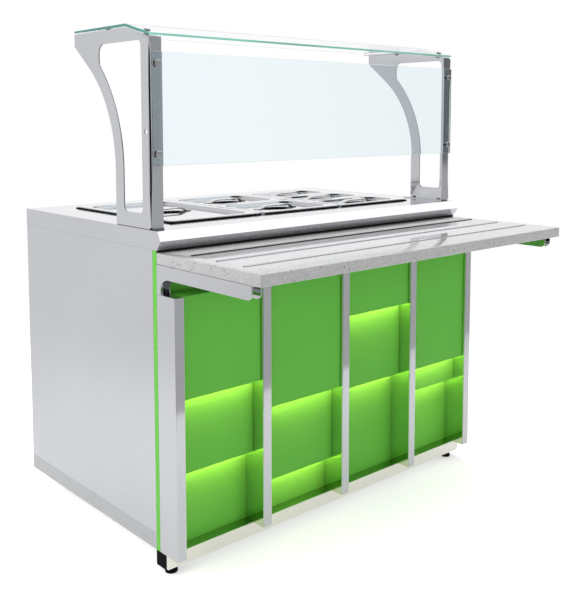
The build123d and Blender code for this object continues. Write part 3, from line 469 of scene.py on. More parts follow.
def skinRings(bm, rings, first=True, last=True, loop=False, material=0):  # first and last: close that end
    layers = [[bm.verts.new(point) for point in ring] for ring in rings]
    count = len(layers[0])
    made = []
    for low, high in zip(layers, layers[1:] + (layers[:1] if loop else [])):
        for i in range(count):
            j = (i + 1) % count
            made.append(bm.faces.new((low[i], low[j], high[j], high[i])))
    if first and not loop:
        made.append(bm.faces.new(list(reversed(layers[0]))))
    if last and not loop:
        made.append(bm.faces.new(layers[-1]))
    for face in made:
        face.material_index = material


def circle(sides):
    turns = [2 * math.pi * i / sides for i in range(sides)]
    return [(math.cos(turn), math.sin(turn)) for turn in turns]


def turned(bm, profile, place, axis, sides, material=0, loop=False):  # profile in mm: radius, height
    axis = Vector(axis).normalized()
    across = axis.orthogonal().normalized()
    other = axis.cross(across)
    rings = []
    for radius, height in profile:
        centre = Vector(place) + axis * (height * mm)
        rings.append([centre + (across * c + other * s) * (radius * mm) for c, s in circle(sides)])
    skinRings(bm, rings, loop=loop, material=material)


def middleOf(low, high):
    return (low + high) / 2


def roundedPath(corners, radius, steps):  # 2-D path with its inner corners rounded
    legShare = 0.48  # the most that a bend takes of the straight beside it
    path = [Vector(corners[0])]
    for before, corner, after in zip(corners, corners[1:], corners[2:]):
        corner = Vector(corner)
        into, out = (corner - Vector(before)), (Vector(after) - corner)
        half = into.angle(out) / 2
        reach = min(radius * math.tan(half), into.length * legShare, out.length * legShare)
        start, end = corner - into.normalized() * reach, corner + out.normalized() * reach
        for i in range(steps + 1):
            t = i / steps
            path.append(start * (1 - t) ** 2 + corner * 2 * t * (1 - t) + end * t ** 2)
    path.append(Vector(corners[-1]))
    return path


def roundedRectangle(halfX, halfY, corner, steps):
    ring = []
    for quarter, (sx, sy) in enumerate(((1, 1), (-1, 1), (-1, -1), (1, -1))):
        for i in range(steps):
            turn = math.pi / 2 * (quarter + i / (steps - 1))
            x = sx * (halfX - corner) + corner * math.cos(turn)
            y = sy * (halfY - corner) + corner * math.sin(turn)
            ring.append((x, y))
    return ring


def ellipse(halfX, halfY, steps):  # point for point beside a rounded rectangle
    nearlyAll = 0.999  # so that no two points meet where the quarters do
    ring = []
    for quarter in range(4):
        for i in range(steps):
            turn = math.pi / 2 * (quarter + i / (steps - 1) * nearlyAll)
            ring.append((halfX * math.cos(turn), halfY * math.sin(turn)))
    return ring


def cleanCopy(node, merged=True):
    bm = bmesh.new()
    bm.from_mesh(nodes[node].data)
    bmesh.ops.remove_doubles(bm, verts=bm.verts, dist=weldGap)
    if merged:
        bmesh.ops.dissolve_limit(bm, angle_limit=levelAngle, verts=bm.verts, edges=bm.edges)
    return bm


def roundEdges(bm, pick, radius, rounds):
    chosen = []
    for edge in bm.edges:
        if len(edge.link_faces) == 2 and edge.calc_face_angle(0.0) > math.radians(foldAngle):
            if pick(edge.verts[0].co, edge.verts[1].co):
                chosen.append(edge)
    bmesh.ops.bevel(
        bm, geom=chosen, offset=radius * mm, segments=rounds, profile=0.5, affect="EDGES", clamp_overlap=True)


# CAD nodes that stay: softened edges and a finish

def dressNode(name, finish, edge):
    obj = nodes[name]
    obj.data.materials.clear()
    obj.data.materials.append(finishes[finish])
    for poly in obj.data.polygons:
        poly.use_smooth = True
    weld = obj.modifiers.new("weld", "WELD")
    weld.merge_threshold = weldGap
    flat = obj.modifiers.new("flat", "DECIMATE")
    flat.decimate_type = "DISSOLVE"
    flat.angle_limit = levelAngle
    softEdges(obj, edge)


pans = ["full", "half_back", "half_front", "third_back", "third_middle", "third_front"]
legPlaces = ["front_left", "front_right", "rear_left", "rear_right"]
bays = range(1, 5)
nodeFinish = {  # node: finish, edge radius in mm
    "worktop": ("topSteel", 1.2),
    "side_panel_left": ("sideSteel", 1.2), "side_panel_right": ("sideSteel", 1.2),
    "base_tray": ("traySteel", 1.0), "control_fascia": ("topSteel", 0.5), "control_box": ("tankSteel", 0.5),
    "front_board": ("greenBoard", 0.8), "front_fins": ("uprightSteel", 1.0),
    "bay_liners": ("mirrorSteel", 0.3), "led_strips": ("ledLens", 0.6), "led_driver": ("driverCase", 0.8),
    "plinth": ("plinthSteel", 0.8), "tray_runners": ("runnerSteel", 0.8), "legs": ("blackCoat", 1.5),
    "tray_bracket_left": ("uprightSteel", 0.8), "tray_bracket_right": ("uprightSteel", 0.8),
    "well_tank": ("tankSteel", 0.8), "insulation_boards": ("wool", 2.0),
    "heating_elements": ("heaterTube", 0.5), "pan_bars": ("topSteel", 0.6), "well_seal": ("blackRubber", 0.8),
    "thermostat": ("blackPlastic", 0.5), "switch_frames": ("blackPlastic", 0.4),
    "power_switch": ("rockerGreen", 0.4), "light_switch": ("rockerWhite", 0.4),
    "pilot_lamp": ("lampLens", 0.4),
    "cable_gland": ("blackPlastic", 0.6), "drain_valve": ("brass", 0.8), "drain_lever": ("redGrip", 0.8),
}
for number in bays:
    nodeFinish[f"upper_panel_{number}"] = ("greenPanel", 0.8)
    nodeFinish[f"middle_panel_{number}"] = ("greenPanel", 0.8)
for name in pans:
    nodeFinish[f"pan_{name}"] = ("panSteel", 0.4)
for name, (finish, edge) in nodeFinish.items():
    dressNode(name, finish, edge)
print("nodes dressed:", len(nodeFinish), "of", len(nodes))


# glass of the guard: sheets with ground green edges

glassSheets = {"arris": 0.8, "smooth": 4.0}


def addGlass(name, node, outline, finishNames):  # finishes of the faces, the long edges and the ends
    low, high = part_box(node)
    bm = bmesh.new()
    ends = [[bm.verts.new((x, y, z)) for y, z in outline] for x in (low.x, high.x)]
    count = len(outline)
    narrow = (count // 2 - 1, count - 1)
    for i in range(count):
        j = (i + 1) % count
        face = bm.faces.new((ends[0][i], ends[0][j], ends[1][j], ends[1][i]))
        face.material_index = 1 if i in narrow else 0
    for end in ends:
        bm.faces.new(end).material_index = 2
    bm.normal_update()

    def sides(edge):
        return {face.material_index for face in edge.link_faces}

    rims = [edge for edge in bm.edges if 0 in sides(edge) and len(sides(edge)) == 2]
    bmesh.ops.bevel(
        bm, geom=rims, offset=glassSheets["arris"] * mm, segments=1, profile=0.5, affect="EDGES", material=1)
    addPiece(name, bm, finishNames, replaced=node, smooth=glassSheets["smooth"])


def sheetOutline(node):  # section at the left end: underside front to back, then top back to front
    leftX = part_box(node)[0].x
    atEnd = [vert.co for vert in nodes[node].data.vertices if abs(vert.co.x - leftX) < touch]
    found = sorted({(round(place.y, 6), round(place.z, 6)) for place in atEnd})
    pairs = [sorted(found[i:i + 2], key=lambda point: point[1]) for i in range(0, len(found), 2)]
    return [pair[0] for pair in pairs] + [pair[1] for pair in reversed(pairs)]


addGlass("shelfGlass", "shelf_glass", sheetOutline("shelf_glass"), ["shelfGlass", "longEdge", "glassEdge"])
paneLow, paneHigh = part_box("front_glass")
paneOutline = [
    (paneHigh.y, paneLow.z), (paneHigh.y, paneHigh.z), (paneLow.y, paneHigh.z), (paneLow.y, paneLow.z)]
addGlass("frontGlass", "front_glass", paneOutline, ["paneGlass", "paneEdge", "paneEdge"])
print("glass made")


# guard brackets: folded plates with rounded bends

guardBend = {  # bend radii in mm, then what tells the faces of the sheet apart
    "front": 7.0, "base": 2.5, "flat": 0.99, "plate": 4.0, "sawn": 3.3, "foldReach": 10.0, "crown": 0.5,
}


def addGuard(side):
    g = guardBend
    node = f"guard_bracket_{side}"
    low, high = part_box(node)
    outerX = low.x if side == "left" else high.x

    def outerEdge(axis, limit):  # picks the outer face's edges at that limit
        return lambda a, b: all(abs(p.x - outerX) < touch and abs(p[axis] - limit) < touch for p in (a, b))

    bm = cleanCopy(node, False)
    roundEdges(bm, outerEdge(1, low.y), g["front"], 7)
    roundEdges(bm, outerEdge(2, low.z), g["base"], 4)
    bm.normal_update()
    for face in bm.faces:
        middle, facing = face.calc_center_median(), face.normal
        width = 2 * face.calc_area() / max(edge.calc_length() for edge in face.edges)
        web = abs(facing.x) > g["flat"]
        flange = abs(facing.y) > g["flat"] and middle.y < low.y + g["plate"] * mm
        foot = abs(facing.z) > g["flat"] and middle.z < low.z + g["plate"] * mm
        behindFold = middle.y > low.y + g["foldReach"] * mm
        if width < g["sawn"] * mm and behindFold and not (web or flange or foot):
            face.material_index = 1  # sawn edge of the sheet
        if min(abs(facing.x), -facing.y) > g["crown"]:
            face.material_index = 2  # crown of the front fold, painted near black: painted reflection of the dark room
    piece = addPiece(f"guardPlate_{side}", bm, ["uprightSteel", "cutSteel", "foldSteel"],
                     replaced=node)
    evenFaces(piece)


for side in ("left", "right"):
    addGuard(side)
print("guard brackets folded")


# guard bolts: flat button caps on the glass, nuts behind and on the feet

guardBolts = {
    "inset": 20.0, "paneMargin": 30.0, "levelReach": 230.0, "facetShare": 0.35, "footReach": (30.0, 140.0),
    "cap": [(4.0, 0), (9.0, 0), (9.0, 2.2), (8.75, 2.8), (8.2, 3.2), (7.2, 3.42), (4.0, 3.48), (0.4, 3.5)],
    "shank": 4.0, "shankSpare": 1.0, "washer": 7.0, "pad": 3.0, "glass": 6.0, "plate": 3.0,
    "nut": 6.6, "nutHeight": 5.0, "nutProfile": [(0.9, 0.0), (1.0, 0.12), (1.0, 0.85), (0.88, 1.0)],
    "tip": [(0.98, 0.6), (0.98, 1.12)],  # shares of the shank and of the nut's height
    "soft": (0.25, 1, 50.0),  # width, rounds and least angle of the softened edges
}


def addBolts():
    g = guardBolts
    bracketLow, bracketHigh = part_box("guard_bracket_left")
    frontUnder, foldUnder = [Vector(point) for point in sheetOutline("shelf_glass")[:2]]
    facet = (foldUnder - frontUnder).normalized()
    facetUp = Vector((-facet.y, facet.x)) if facet.x > 0 else Vector((facet.y, -facet.x))
    boltX = cadBox[1][0] - g["inset"] * mm
    bm = bmesh.new()

    def through(place, axis):
        place, axis = Vector(place), Vector(axis)
        lift = g["pad"] + g["glass"]
        turned(bm, g["cap"], place + axis * (lift * mm), axis, 40)
        turned(bm, [(g["washer"], 0), (g["washer"], g["pad"])], place, axis, 32)
        back = g["plate"] + g["nutHeight"] + g["shankSpare"]
        turned(bm, [(g["shank"], -back), (g["shank"], lift)], place, axis, 24)
        addNut(place - axis * (g["plate"] * mm), -axis)

    def addNut(place, axis):
        corner = g["nut"] / math.cos(math.pi / 6)
        turned(bm, [(corner * r, g["nutHeight"] * h) for r, h in g["nutProfile"]], place, axis, 6)
        turned(bm, [(g["shank"] * r, g["nutHeight"] * h) for r, h in g["tip"]], place, axis, 20)

    for side in (-1, 1):
        for z in (paneLow.z + g["paneMargin"] * mm, paneHigh.z - g["paneMargin"] * mm):
            through((side * boltX, bracketLow.y, z), (0, -1, 0))
        through((side * boltX, bracketLow.y + g["levelReach"] * mm, bracketHigh.z), upward)
        spot = frontUnder + (foldUnder - frontUnder) * g["facetShare"] - facetUp * g["pad"] * mm
        through((side * boltX, spot.x, spot.y), (0, facetUp.x, facetUp.y))
        for reach in g["footReach"]:
            addNut((side * boltX, bracketLow.y + reach * mm, bracketLow.z + g["plate"] * mm), upward)
    piece = addPiece("guardBoltSet", bm, ["boltSteel"], replaced="guard_bolts",
                     smooth=28.0)
    softEdges(piece, *g["soft"])


addBolts()
print("guard bolted")


# lids: flat border, pressed panel, finger dish and a welded strap handle

lidShape = {
    "sheet": 1.2, "border": 22.0, "sink": 9.0, "lean": 3.0, "corner": 11.0, "panelCorner": 46.0,
    "rim": [(0.0, -1.1), (0.0, -0.5), (0.2, -0.15), (0.7, 0.0)],  # inset and height of the rounded edge
    "dish": (132.0, 88.0), "dishDepth": 11.0, "dishLean": 2.5, "edgeRound": 2.6, "panelRound": 3.6,
    "borderRun": 8.0, "panelRun": 7.0, "dishRun": 9.0,  # flat lengths beside the bends
    "steps": 10, "bendSteps": 5, "dishFrom": 0.1,
}
strapShape = {
    "width": 24.0, "thick": 3.0, "rise": 12.0, "grip": 88.0, "span": 142.0, "tab": 11.0, "toe": 2.0,
    "bend": 60.0, "bendSteps": 8, "weldShare": 0.45, "weldOff": 6.0,
    "weld": [(3.2, -0.4), (3.2, 0.1), (2.6, 0.5), (0.8, 0.7)], "soft": (0.9, 3, 50.0),
}


def addLid(name):
    s = lidShape
    node = f"lid_{name}"
    low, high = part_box(node)
    middle = middleOf(low, high)
    halfX, halfY = (high.x - low.x) / 2, (high.y - low.y) / 2
    topZ = low.z + (s["sheet"] + s["dishDepth"] + s["sink"]) * mm
    panelZ = topZ - s["sink"] * mm

    def placed(flat, z):
        return [(middle.x + x, middle.y + y, topZ + z * mm) for x, y in flat]

    def rectRing(inset, z):
        share = min(1.0, inset / s["border"])
        corner = s["corner"] + (s["panelCorner"] - s["corner"]) * share - max(0.0, inset - s["border"])
        return placed(roundedRectangle(halfX - inset * mm, halfY - inset * mm, corner * mm, s["steps"]), z)

    def dishRing(outset, z):
        halfWide, halfDeep = [(size / 2 + outset) * mm for size in s["dish"]]
        return placed(ellipse(halfWide, halfDeep, s["steps"]), z)

    wallTop, wallFoot = s["border"], s["border"] + s["lean"]
    press = [(wallTop - s["borderRun"], 0.0), (wallTop, 0.0),
             (wallFoot, -s["sink"]), (wallFoot + s["panelRun"], -s["sink"])]
    bottom = -s["sink"] - s["dishDepth"]
    dish = [(s["panelRun"], -s["sink"]), (0.0, -s["sink"]),
            (-s["dishLean"], bottom), (-s["dishLean"] - s["dishRun"], bottom)]
    bm = bmesh.new()
    rings = [rectRing(*point) for point in s["rim"]]
    rings += [rectRing(*point) for point in roundedPath(press, s["edgeRound"], s["bendSteps"])]
    rings += [dishRing(*point) for point in roundedPath(dish, s["panelRound"], s["bendSteps"])]
    skinRings(bm, rings, first=False)
    # faces below the panel take the dish finish, whose steep walls carry the darker painted reflection
    for face in bm.faces:
        face.material_index = int(face.calc_center_median().z < panelZ - s["dishFrom"] * mm)
    shell = addPiece(f"lidShell_{name}", bm, ["lidSteel", "dishSteel"], body=node,
                     replaced=node, smooth=38.0)
    thick = shell.modifiers.new("sheet", "SOLIDIFY")
    thick.thickness = s["sheet"] * mm
    thick.offset = -1.0
    thick.use_even_offset = True
    addStrap(name, node, Vector((middle.x, middle.y, panelZ)))


def addStrap(name, node, seat):
    s = strapShape
    half = s["thick"] / 2
    span, grip, rise = s["span"] / 2, s["grip"] / 2, s["rise"] - half
    rightSide = [(grip, rise), (span - s["toe"], half), (span + s["tab"], half)]
    leftSide = [(-x, z) for x, z in reversed(rightSide)]
    path = roundedPath(leftSide + rightSide, s["bend"], s["bendSteps"])
    bm = bmesh.new()
    rings = []
    for i, point in enumerate(path):
        ahead = (path[min(i + 1, len(path) - 1)] - path[max(i - 1, 0)]).normalized()
        up = Vector((-ahead.y, ahead.x)) * half
        ring = []
        for sideways, lift in ((-1, -1), (1, -1), (1, 1), (-1, 1)):
            spot = point + up * lift
            ring.append(seat + Vector((spot.x, sideways * s["width"] / 2, spot.y)) * mm)
        rings.append(ring)
    skinRings(bm, rings)
    for end in (-1, 1):
        for across in (-1, 1):
            spot = Vector((end * (span + s["tab"] * s["weldShare"]), across * s["weldOff"], s["thick"]))
            turned(bm, s["weld"], seat + spot * mm, upward, 20)
    strap = addPiece(f"lidStrap_{name}", bm, ["lidSteel"], body=node, smooth=30.0)
    softEdges(strap, *s["soft"])


for name in pans:
    addLid(name)
print("lids pressed")


# stone slab with eased edges, and a black strip under the nosing: painted shade of the gap there

slabShape = {
    "edge": 2.5, "shadeHeight": 5.0, "shadeDepth": 1.2, "shadeInset": 0.8,
    "shadeToe": 0.4, "shadeHollow": 0.3,
}


def addSlab():
    s = slabShape
    low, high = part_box("tray_slab")

    def outer(a, b):  # edges where two sides of the slab's box meet
        shared = {axis for axis in range(3) for limit in (low[axis], high[axis])
                  if abs(a[axis] - limit) < touch and abs(b[axis] - limit) < touch}
        return len(shared) > 1

    bm = cleanCopy("tray_slab")
    roundEdges(bm, outer, s["edge"], 4)
    addPiece("stoneSlab", bm, ["stone"], replaced="tray_slab")

    # painted shade: a black strip standing in for the shadow gap under the nosing
    bm = bmesh.new()
    z0, z1 = high.z, high.z + s["shadeHeight"] * mm
    y0, y1 = high.y - s["shadeDepth"] * mm, high.y
    section = [(y0 + s["shadeToe"] * mm, z0), (y1, z0), (y1, z1), (y0, z1),
               (y0 + s["shadeHollow"] * mm, (z0 + z1) / 2)]
    ends = (low.x + s["shadeInset"] * mm, high.x - s["shadeInset"] * mm)
    skinRings(bm, [[(x, y, z) for y, z in section] for x in ends])
    addPiece("nosingShadeStrip", bm, ["blackRubber"])


addSlab()
print("slab laid")


# levelling feet: ribbed pad, hexagon nut, threaded stem

footShape = {
    "pad": [(4.0, 0.6), (6.0, 0.0), (15.6, 0.0), (16.6, 0.5), (17.0, 1.5), (17.0, 3.6), (16.4, 4.0),
            (16.4, 4.6), (17.0, 5.0), (17.0, 6.0), (16.2, 7.2), (13.6, 8.7), (9.6, 9.0), (5.0, 9.0)],
    "padHeight": 9.0, "nut": 17.0, "nutHeight": 9.0, "nutTop": 0.88, "nutChamfer": 0.9,
    "stem": 5.0, "stemSunk": 1.0, "pitch": 1.5, "root": 0.55, "crest": 0.05, "crestSpan": (0.45, 0.55),
}


def addFoot(place):
    f = footShape
    node = f"levelling_foot_{place}"
    low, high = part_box(node)
    middle = middleOf(low, high)
    centre = Vector((middle.x, middle.y, low.z))
    bm = bmesh.new()
    turned(bm, f["pad"], centre, upward, 48, 0)
    corner = f["nut"] / 2 / math.cos(math.pi / 6)
    nutFoot, nutHead = f["padHeight"], f["padHeight"] + f["nutHeight"]
    nut = [(corner * f["nutTop"], nutFoot), (corner, nutFoot + f["nutChamfer"]),
           (corner, nutHead - f["nutChamfer"]), (corner * f["nutTop"], nutHead)]
    turned(bm, nut, centre, upward, 6, 1)
    thread = []
    height = nutHead - f["stemSunk"]
    while height < (high.z - low.z) / mm - f["pitch"]:
        thread.append((f["stem"] - f["root"], height))
        thread += [(f["stem"] - f["crest"], height + f["pitch"] * share) for share in f["crestSpan"]]
        height += f["pitch"]
    turned(bm, thread, centre, upward, 24, 1)
    addPiece(f"foot_{place}", bm, ["blackRubber", "blackCoat"], body=node, replaced=node,
             smooth=30.0)


for place in legPlaces:
    addFoot(place)
print("feet turned")


# controls at the back: fluted knob, dial, rocker marks, lamp bezel and screws

dial = {
    "skirt": 24.0, "high": 22.0, "flutes": 24, "flute": 0.9, "spindle": 3.0, "spindleEnd": 1.0,
    "soft": (0.7, 3, 60.0),
    "profile": [  # radius, height, share of the flute's depth
        (22.6, 0.0, 0), (24.0, 0.8, 0), (24.0, 3.2, 0), (23.4, 4.4, 0), (21.0, 5.6, 0), (18.2, 6.2, 0),
        (17.0, 6.8, 1), (16.8, 16.4, 1), (16.1, 17.6, 0.5), (14.8, 18.2, 0), (9.0, 18.4, 0), (2.0, 18.5, 0)],
    "barWidth": 7.0, "barFoot": 4.0, "barTop": 21.7, "barUnder": 17.0, "barOver": 22.2,
    "pointerWidth": 1.6, "pointerFrom": 5.0, "pointerSunk": 0.2, "pointerShort": 1.2,
    "ticks": (27.5, 30.0, 32.0), "tickWidth": 0.8, "firstTurn": 60.0, "sweep": 270.0,
    "numbers": range(30, 100, 10), "numberRing": 37.0, "numberSize": 5.5, "print": 0.12,
}
rockerMark = {
    "tilt": 8.0, "pivot": 4.0, "front": 5.833, "curve": 33.9, "place": 5.4, "stroke": 1.1, "ring": 2.3,
    "proud": 0.12, "sunk": 0.05, "strokeParts": 6, "ringSides": 28,
}
lampBezel = {
    "profile": [(8.2, 0.0), (10.5, 0.0), (10.5, 0.8), (9.8, 1.7), (9.0, 2.0), (8.2, 2.0)], "sides": 40,
}
fasciaScrews = {
    "inset": 22.0, "rise": 12.0, "rows": 5,
    "profile": [(4.5, 0.0), (4.5, 0.44), (4.185, 1.21), (3.51, 1.804), (2.7, 2.2),
                (2.0, 2.2), (1.94, 0.77), (0.6, 0.55)],
}
fasciaLow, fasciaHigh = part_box("control_fascia")


def smallBox(bm, low, high):
    (x0, y0, z0), (x1, y1, z1) = low, high
    skinRings(bm, [[(x0, y0, z), (x1, y0, z), (x1, y1, z), (x0, y1, z)] for z in (z0, z1)])


def addKnob():
    d = dial
    low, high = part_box("thermostat_knob")
    centre = Vector(((low.x + high.x) / 2, high.y - d["high"] * mm, low.z + d["skirt"] * mm))
    sides = d["flutes"] * 6

    def ring(radius, height, share):
        points = []
        for i, (c, s) in enumerate(circle(sides)):
            wave = 0.5 - 0.5 * math.cos(2 * math.pi * d["flutes"] * i / sides)
            r = radius - d["flute"] * share * wave
            points.append(centre + Vector((r * c, height, r * s)) * mm)
        return points

    def block(bm, low, high):  # corners in mm from the knob's centre
        smallBox(bm, *(centre + Vector(corner) * mm for corner in (low, high)))

    bm = bmesh.new()
    skinRings(bm, [ring(*step) for step in d["profile"]])
    spindle = [(d["spindle"], (low.y - centre.y) / mm), (d["spindle"], d["spindleEnd"])]
    turned(bm, spindle, centre, backward, 24)
    halfBar, halfPointer = d["barWidth"] / 2, d["pointerWidth"] / 2
    block(bm, (-halfBar, d["barFoot"], -d["barUnder"]), (halfBar, d["barTop"], d["barOver"]))
    knob = addPiece("thermostatGrip", bm, ["blackPlastic"], body="thermostat_knob",
                    replaced="thermostat_knob")
    softEdges(knob, *d["soft"])
    bm = bmesh.new()
    block(bm, (-halfPointer, d["barTop"] - d["pointerSunk"], d["pointerFrom"]),
          (halfPointer, d["high"], d["barOver"] - d["pointerShort"]))
    addPiece("thermostatPointer", bm, ["whiteMark"], body="thermostat_knob")
    return centre


def addDial(centre):
    d = dial
    wall = fasciaHigh.y
    bm = bmesh.new()
    near, minor, major = d["ticks"]
    marks = [(0.0, "0")]  # off, where the knob rests
    steps = (len(d["numbers"]) - 1) * 2
    for i in range(steps + 1):
        turn = d["firstTurn"] + (d["sweep"] - d["firstTurn"]) * i / steps
        marks.append((math.radians(turn), "" if i % 2 else str(d["numbers"][i // 2])))
    for turn, words in marks:
        out = Vector((-math.sin(turn), 0, math.cos(turn)))  # clockwise, seen from behind
        side = Vector((out.z, 0, -out.x)) * (d["tickWidth"] / 2 * mm)
        ends = [centre + out * r * mm for r in (near, major if words else minor)]
        flat = [ends[0] - side, ends[0] + side, ends[1] + side, ends[1] - side]
        skinRings(bm, [[(p.x, y, p.z) for p in flat] for y in (wall, wall + d["print"] * mm)])
        if words:
            addNumber(bm, words, centre + out * d["numberRing"] * mm, wall)
    addPiece("dialMarks", bm, ["blackPlastic"])


def addNumber(bm, words, place, wall):
    text = bpy.data.curves.new("dialNumber", "FONT")
    text.body = words
    text.size = dial["numberSize"] * mm
    text.align_x, text.align_y = "CENTER", "CENTER"
    text.extrude = dial["print"] * mm
    holder = bpy.data.objects.new("dialNumber", text)
    mesh = bpy.data.meshes.new_from_object(holder)
    for vert in mesh.vertices:
        x, y, z = vert.co
        vert.co = (place.x - x, wall + z, place.z + y)  # read from behind
    bm.from_mesh(mesh)
    bpy.data.objects.remove(holder)


def addRockerMarks(switch, finish):
    r = rockerMark
    middle, frames = middleOf(*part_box(switch)), middleOf(*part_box("switch_frames"))
    pivot = Vector((middle.x, fasciaHigh.y - r["pivot"] * mm, frames.z))
    lean = math.radians(r["tilt"])
    outward = Vector((0, math.cos(lean), math.sin(lean)))
    along = Vector((0, -math.sin(lean), math.cos(lean)))

    def onFace(x, v, lift):  # the rocker's face is hollow
        depth = r["front"] + r["curve"] - math.sqrt(r["curve"] ** 2 - v ** 2) + lift
        return pivot + Vector((x * mm, 0, 0)) + outward * depth * mm + along * v * mm

    bm = bmesh.new()
    half, reach, inner = r["stroke"] / 2, r["ring"], r["ring"] - r["stroke"]
    under, over = -r["sunk"], r["proud"]
    section = [(-half, under), (half, under), (half, over), (-half, over)]
    rings = []
    for i in range(r["strokeParts"] + 1):
        v = r["place"] - reach + 2 * reach * i / r["strokeParts"]
        rings.append([onFace(x, v, lift) for x, lift in section])
    skinRings(bm, rings)
    rings = []
    for radius, lift in ((reach, under), (reach, over), (inner, over), (inner, under)):
        rings.append([onFace(radius * c, radius * s - r["place"], lift) for c, s in circle(r["ringSides"])])
    skinRings(bm, rings, loop=True)
    addPiece(f"{switch}Marks", bm, [finish], body=switch)


def addTrim():
    lamp = middleOf(*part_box("pilot_lamp"))
    bm = bmesh.new()
    turned(bm, lampBezel["profile"], (lamp.x, fasciaHigh.y, lamp.z), backward, lampBezel["sides"], loop=True)
    addPiece("lampRing", bm, ["boltSteel"])

    s = fasciaScrews
    bm = bmesh.new()
    span = fasciaHigh.x - fasciaLow.x - 2 * s["inset"] * mm
    for i in range(s["rows"]):
        x = fasciaLow.x + s["inset"] * mm + span * i / (s["rows"] - 1)
        for z in (fasciaLow.z + s["rise"] * mm, fasciaHigh.z - s["rise"] * mm):
            turned(bm, s["profile"], (x, fasciaHigh.y, z), backward, 24)
    addPiece("fasciaScrewSet", bm, ["boltSteel"], smooth=40.0)


knobCentre = addKnob()
addDial(knobCentre)
addRockerMarks("power_switch", "whiteMark")
addRockerMarks("light_switch", "blackPlastic")
addTrim()
print("controls dressed")


# lamps of the lit front, in metres and watts

ledLamps = {
    "power": {"upper": 0.31, "middle": 0.265}, "bayWidth": 0.26,  # the power is for a bay of that width
    "colour": (1.0, 0.53, 0.29),
    "width": 0.006, "fromFront": 0.004, "below": 0.0055, "lip": 0.009, "tilt": 28.0, "spread": 165.0,
    "step": 0.035, "endGap": 0.004,
    "line": {"upper": 0.015, "middle": 0.020}, "linePower": 0.006, "lineWidth": 0.001, "lineOff": 0.003,
    "lineTilt": 80.0, "lineSpread": 170.0,
}
floorShade = bpy.data.collections.new("floorShade")  # holds the floor, which the bay lamps leave out


def addLamp(name, place, size, power):
    lamp = bpy.data.lights.new(name, "AREA")
    lamp.size = size
    lamp.energy = power
    obj = bpy.data.objects.new(name, lamp)
    obj.location = place
    obj.visible_glossy = obj.visible_transmission = False  # metal and glass show the room instead
    scene.collection.objects.link(obj)
    return obj


def addBayLamp(name, place, length, width, power, tilt, spread):
    obj = addLamp(name, place, length, power * length / ledLamps["bayWidth"])
    obj.data.shape = "RECTANGLE"
    obj.data.size_y = width
    obj.data.color = ledLamps["colour"]
    obj.data.spread = math.radians(spread)
    obj.rotation_euler = (math.radians(tilt), 0, 0)  # turned towards the wall behind
    obj.light_linking.receiver_collection = floorShade
    obj.visible_camera = False


def lightBays():
    g = ledLamps
    for part in ("upper", "middle"):
        for number in bays:
            low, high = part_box(f"{part}_panel_{number}")
            middleX, length = (low.x + high.x) / 2, high.x - low.x - 2 * g["endGap"]
            strip = (middleX, low.y + g["fromFront"], low.z + g["lip"] - g["below"])
            line = (middleX, low.y + g["step"] - g["lineOff"], low.z - g["line"][part])
            addBayLamp(f"bayLamp_{part}_{number}", strip, length, g["width"], g["power"][part],
                       g["tilt"], g["spread"])
            addBayLamp(f"bayLine_{part}_{number}", line, length, g["lineWidth"], g["linePower"],
                       g["lineTilt"], g["lineSpread"])


lightBays()
print("front lit")


# studio: white sweep behind, and the room that the metal mirrors, darker behind the camera

whitePaint = (1.0, 1.0, 1.0, 1.0)
room = {  # brightness by direction; spans are limits of height or of nearness to a direction
    "tone": 0.66, "lean": (0.17, 0.30, 0.0), "glowEdge": (0.92, 0.985),
    "glows": [((-0.966, -0.259, 0.0), 0.63), ((-0.087, -0.996, 0.0), 0.40), ((-0.63, 0.775, 0.0), 0.115),
              ((-0.25, 0.968, 0.0), -0.09), ((0.62, 0.775, 0.11), 0.04)],
    "shades": [((0.883, -0.469, 0.06), -0.36), ((0.70, -0.71, 0.05), -0.05)],
    "softbox": 1.72, "ceiling": 1.0, "boxTilt": 0.4, "boxEdge": (0.52, 0.70), "boxBack": (-0.05, 0.4),
    "screen": (0.68, -0.733, 0.0), "screenSides": (0.80, 0.90),
    "screenFoot": (0.10, 0.15), "screenHead": (0.32, 0.42),
    "dark": (-0.667, -0.745, 0.0), "darkSides": (0.86, 0.96), "darkHead": (0.62, 0.82),
    "widerRise": (0.08, 0.3), "wider": 0.22, "deepest": 0.95,
    "lowRise": (0.05, 0.2), "lowShare": 0.82, "plainShare": 0.15,  # what a single bounce shows of the dark
}
floorLook = {
    "colour": (0.90, 0.90, 0.90, 1.0), "half": 16.0, "glow": 0.47, "whiteFrom": (1.3, 2.6),
    "nearTone": 0.97, "nearFade": (1.6, 3.2), "frontEdge": -1.32, "frontLift": 0.15, "frontTone": 0.54,
    "mirrorFrom": (0.6, 2.5), "mirrorShare": (0.6, 1.0),
}
studio = {
    "worldLight": 0.45,
    "lamps": [  # name, place, aim, size, power
        ("topLamp", (0.1, -0.1, 4.3), (0, 0, 0.8), 3.4, 116.0),
        ("leftLamp", (-3.7, 0.5, 2.3), (-0.5, 0.1, 0.6), 2.4, 98.0),
        ("frontLamp", (0.8, -4.4, 1.3), (0, 0, 0.6), 2.8, 56.0),
        ("rearLamp", (0.8, 4.0, 2.4), (0, 0, 0.7), 2.6, 55.0),
    ],
}


def rayKinds(tree):  # rays that see the white background, that bounced off metal, and that bounced twice
    path = addNode(tree, "LightPath").outputs
    clear = calc(tree, "LESS_THAN", path["Glossy Depth"], 0.5)
    seen = calc(tree, "MAXIMUM", path["Is Camera Ray"], times(tree, path["Is Transmission Ray"], clear))
    bounced = calc(tree, "MAXIMUM", path["Is Glossy Ray"], path["Is Transmission Ray"])
    folded = calc(tree, "GREATER_THAN", path["Glossy Depth"], 1.5)
    return seen, times(tree, bounced, without(tree, seen)), folded


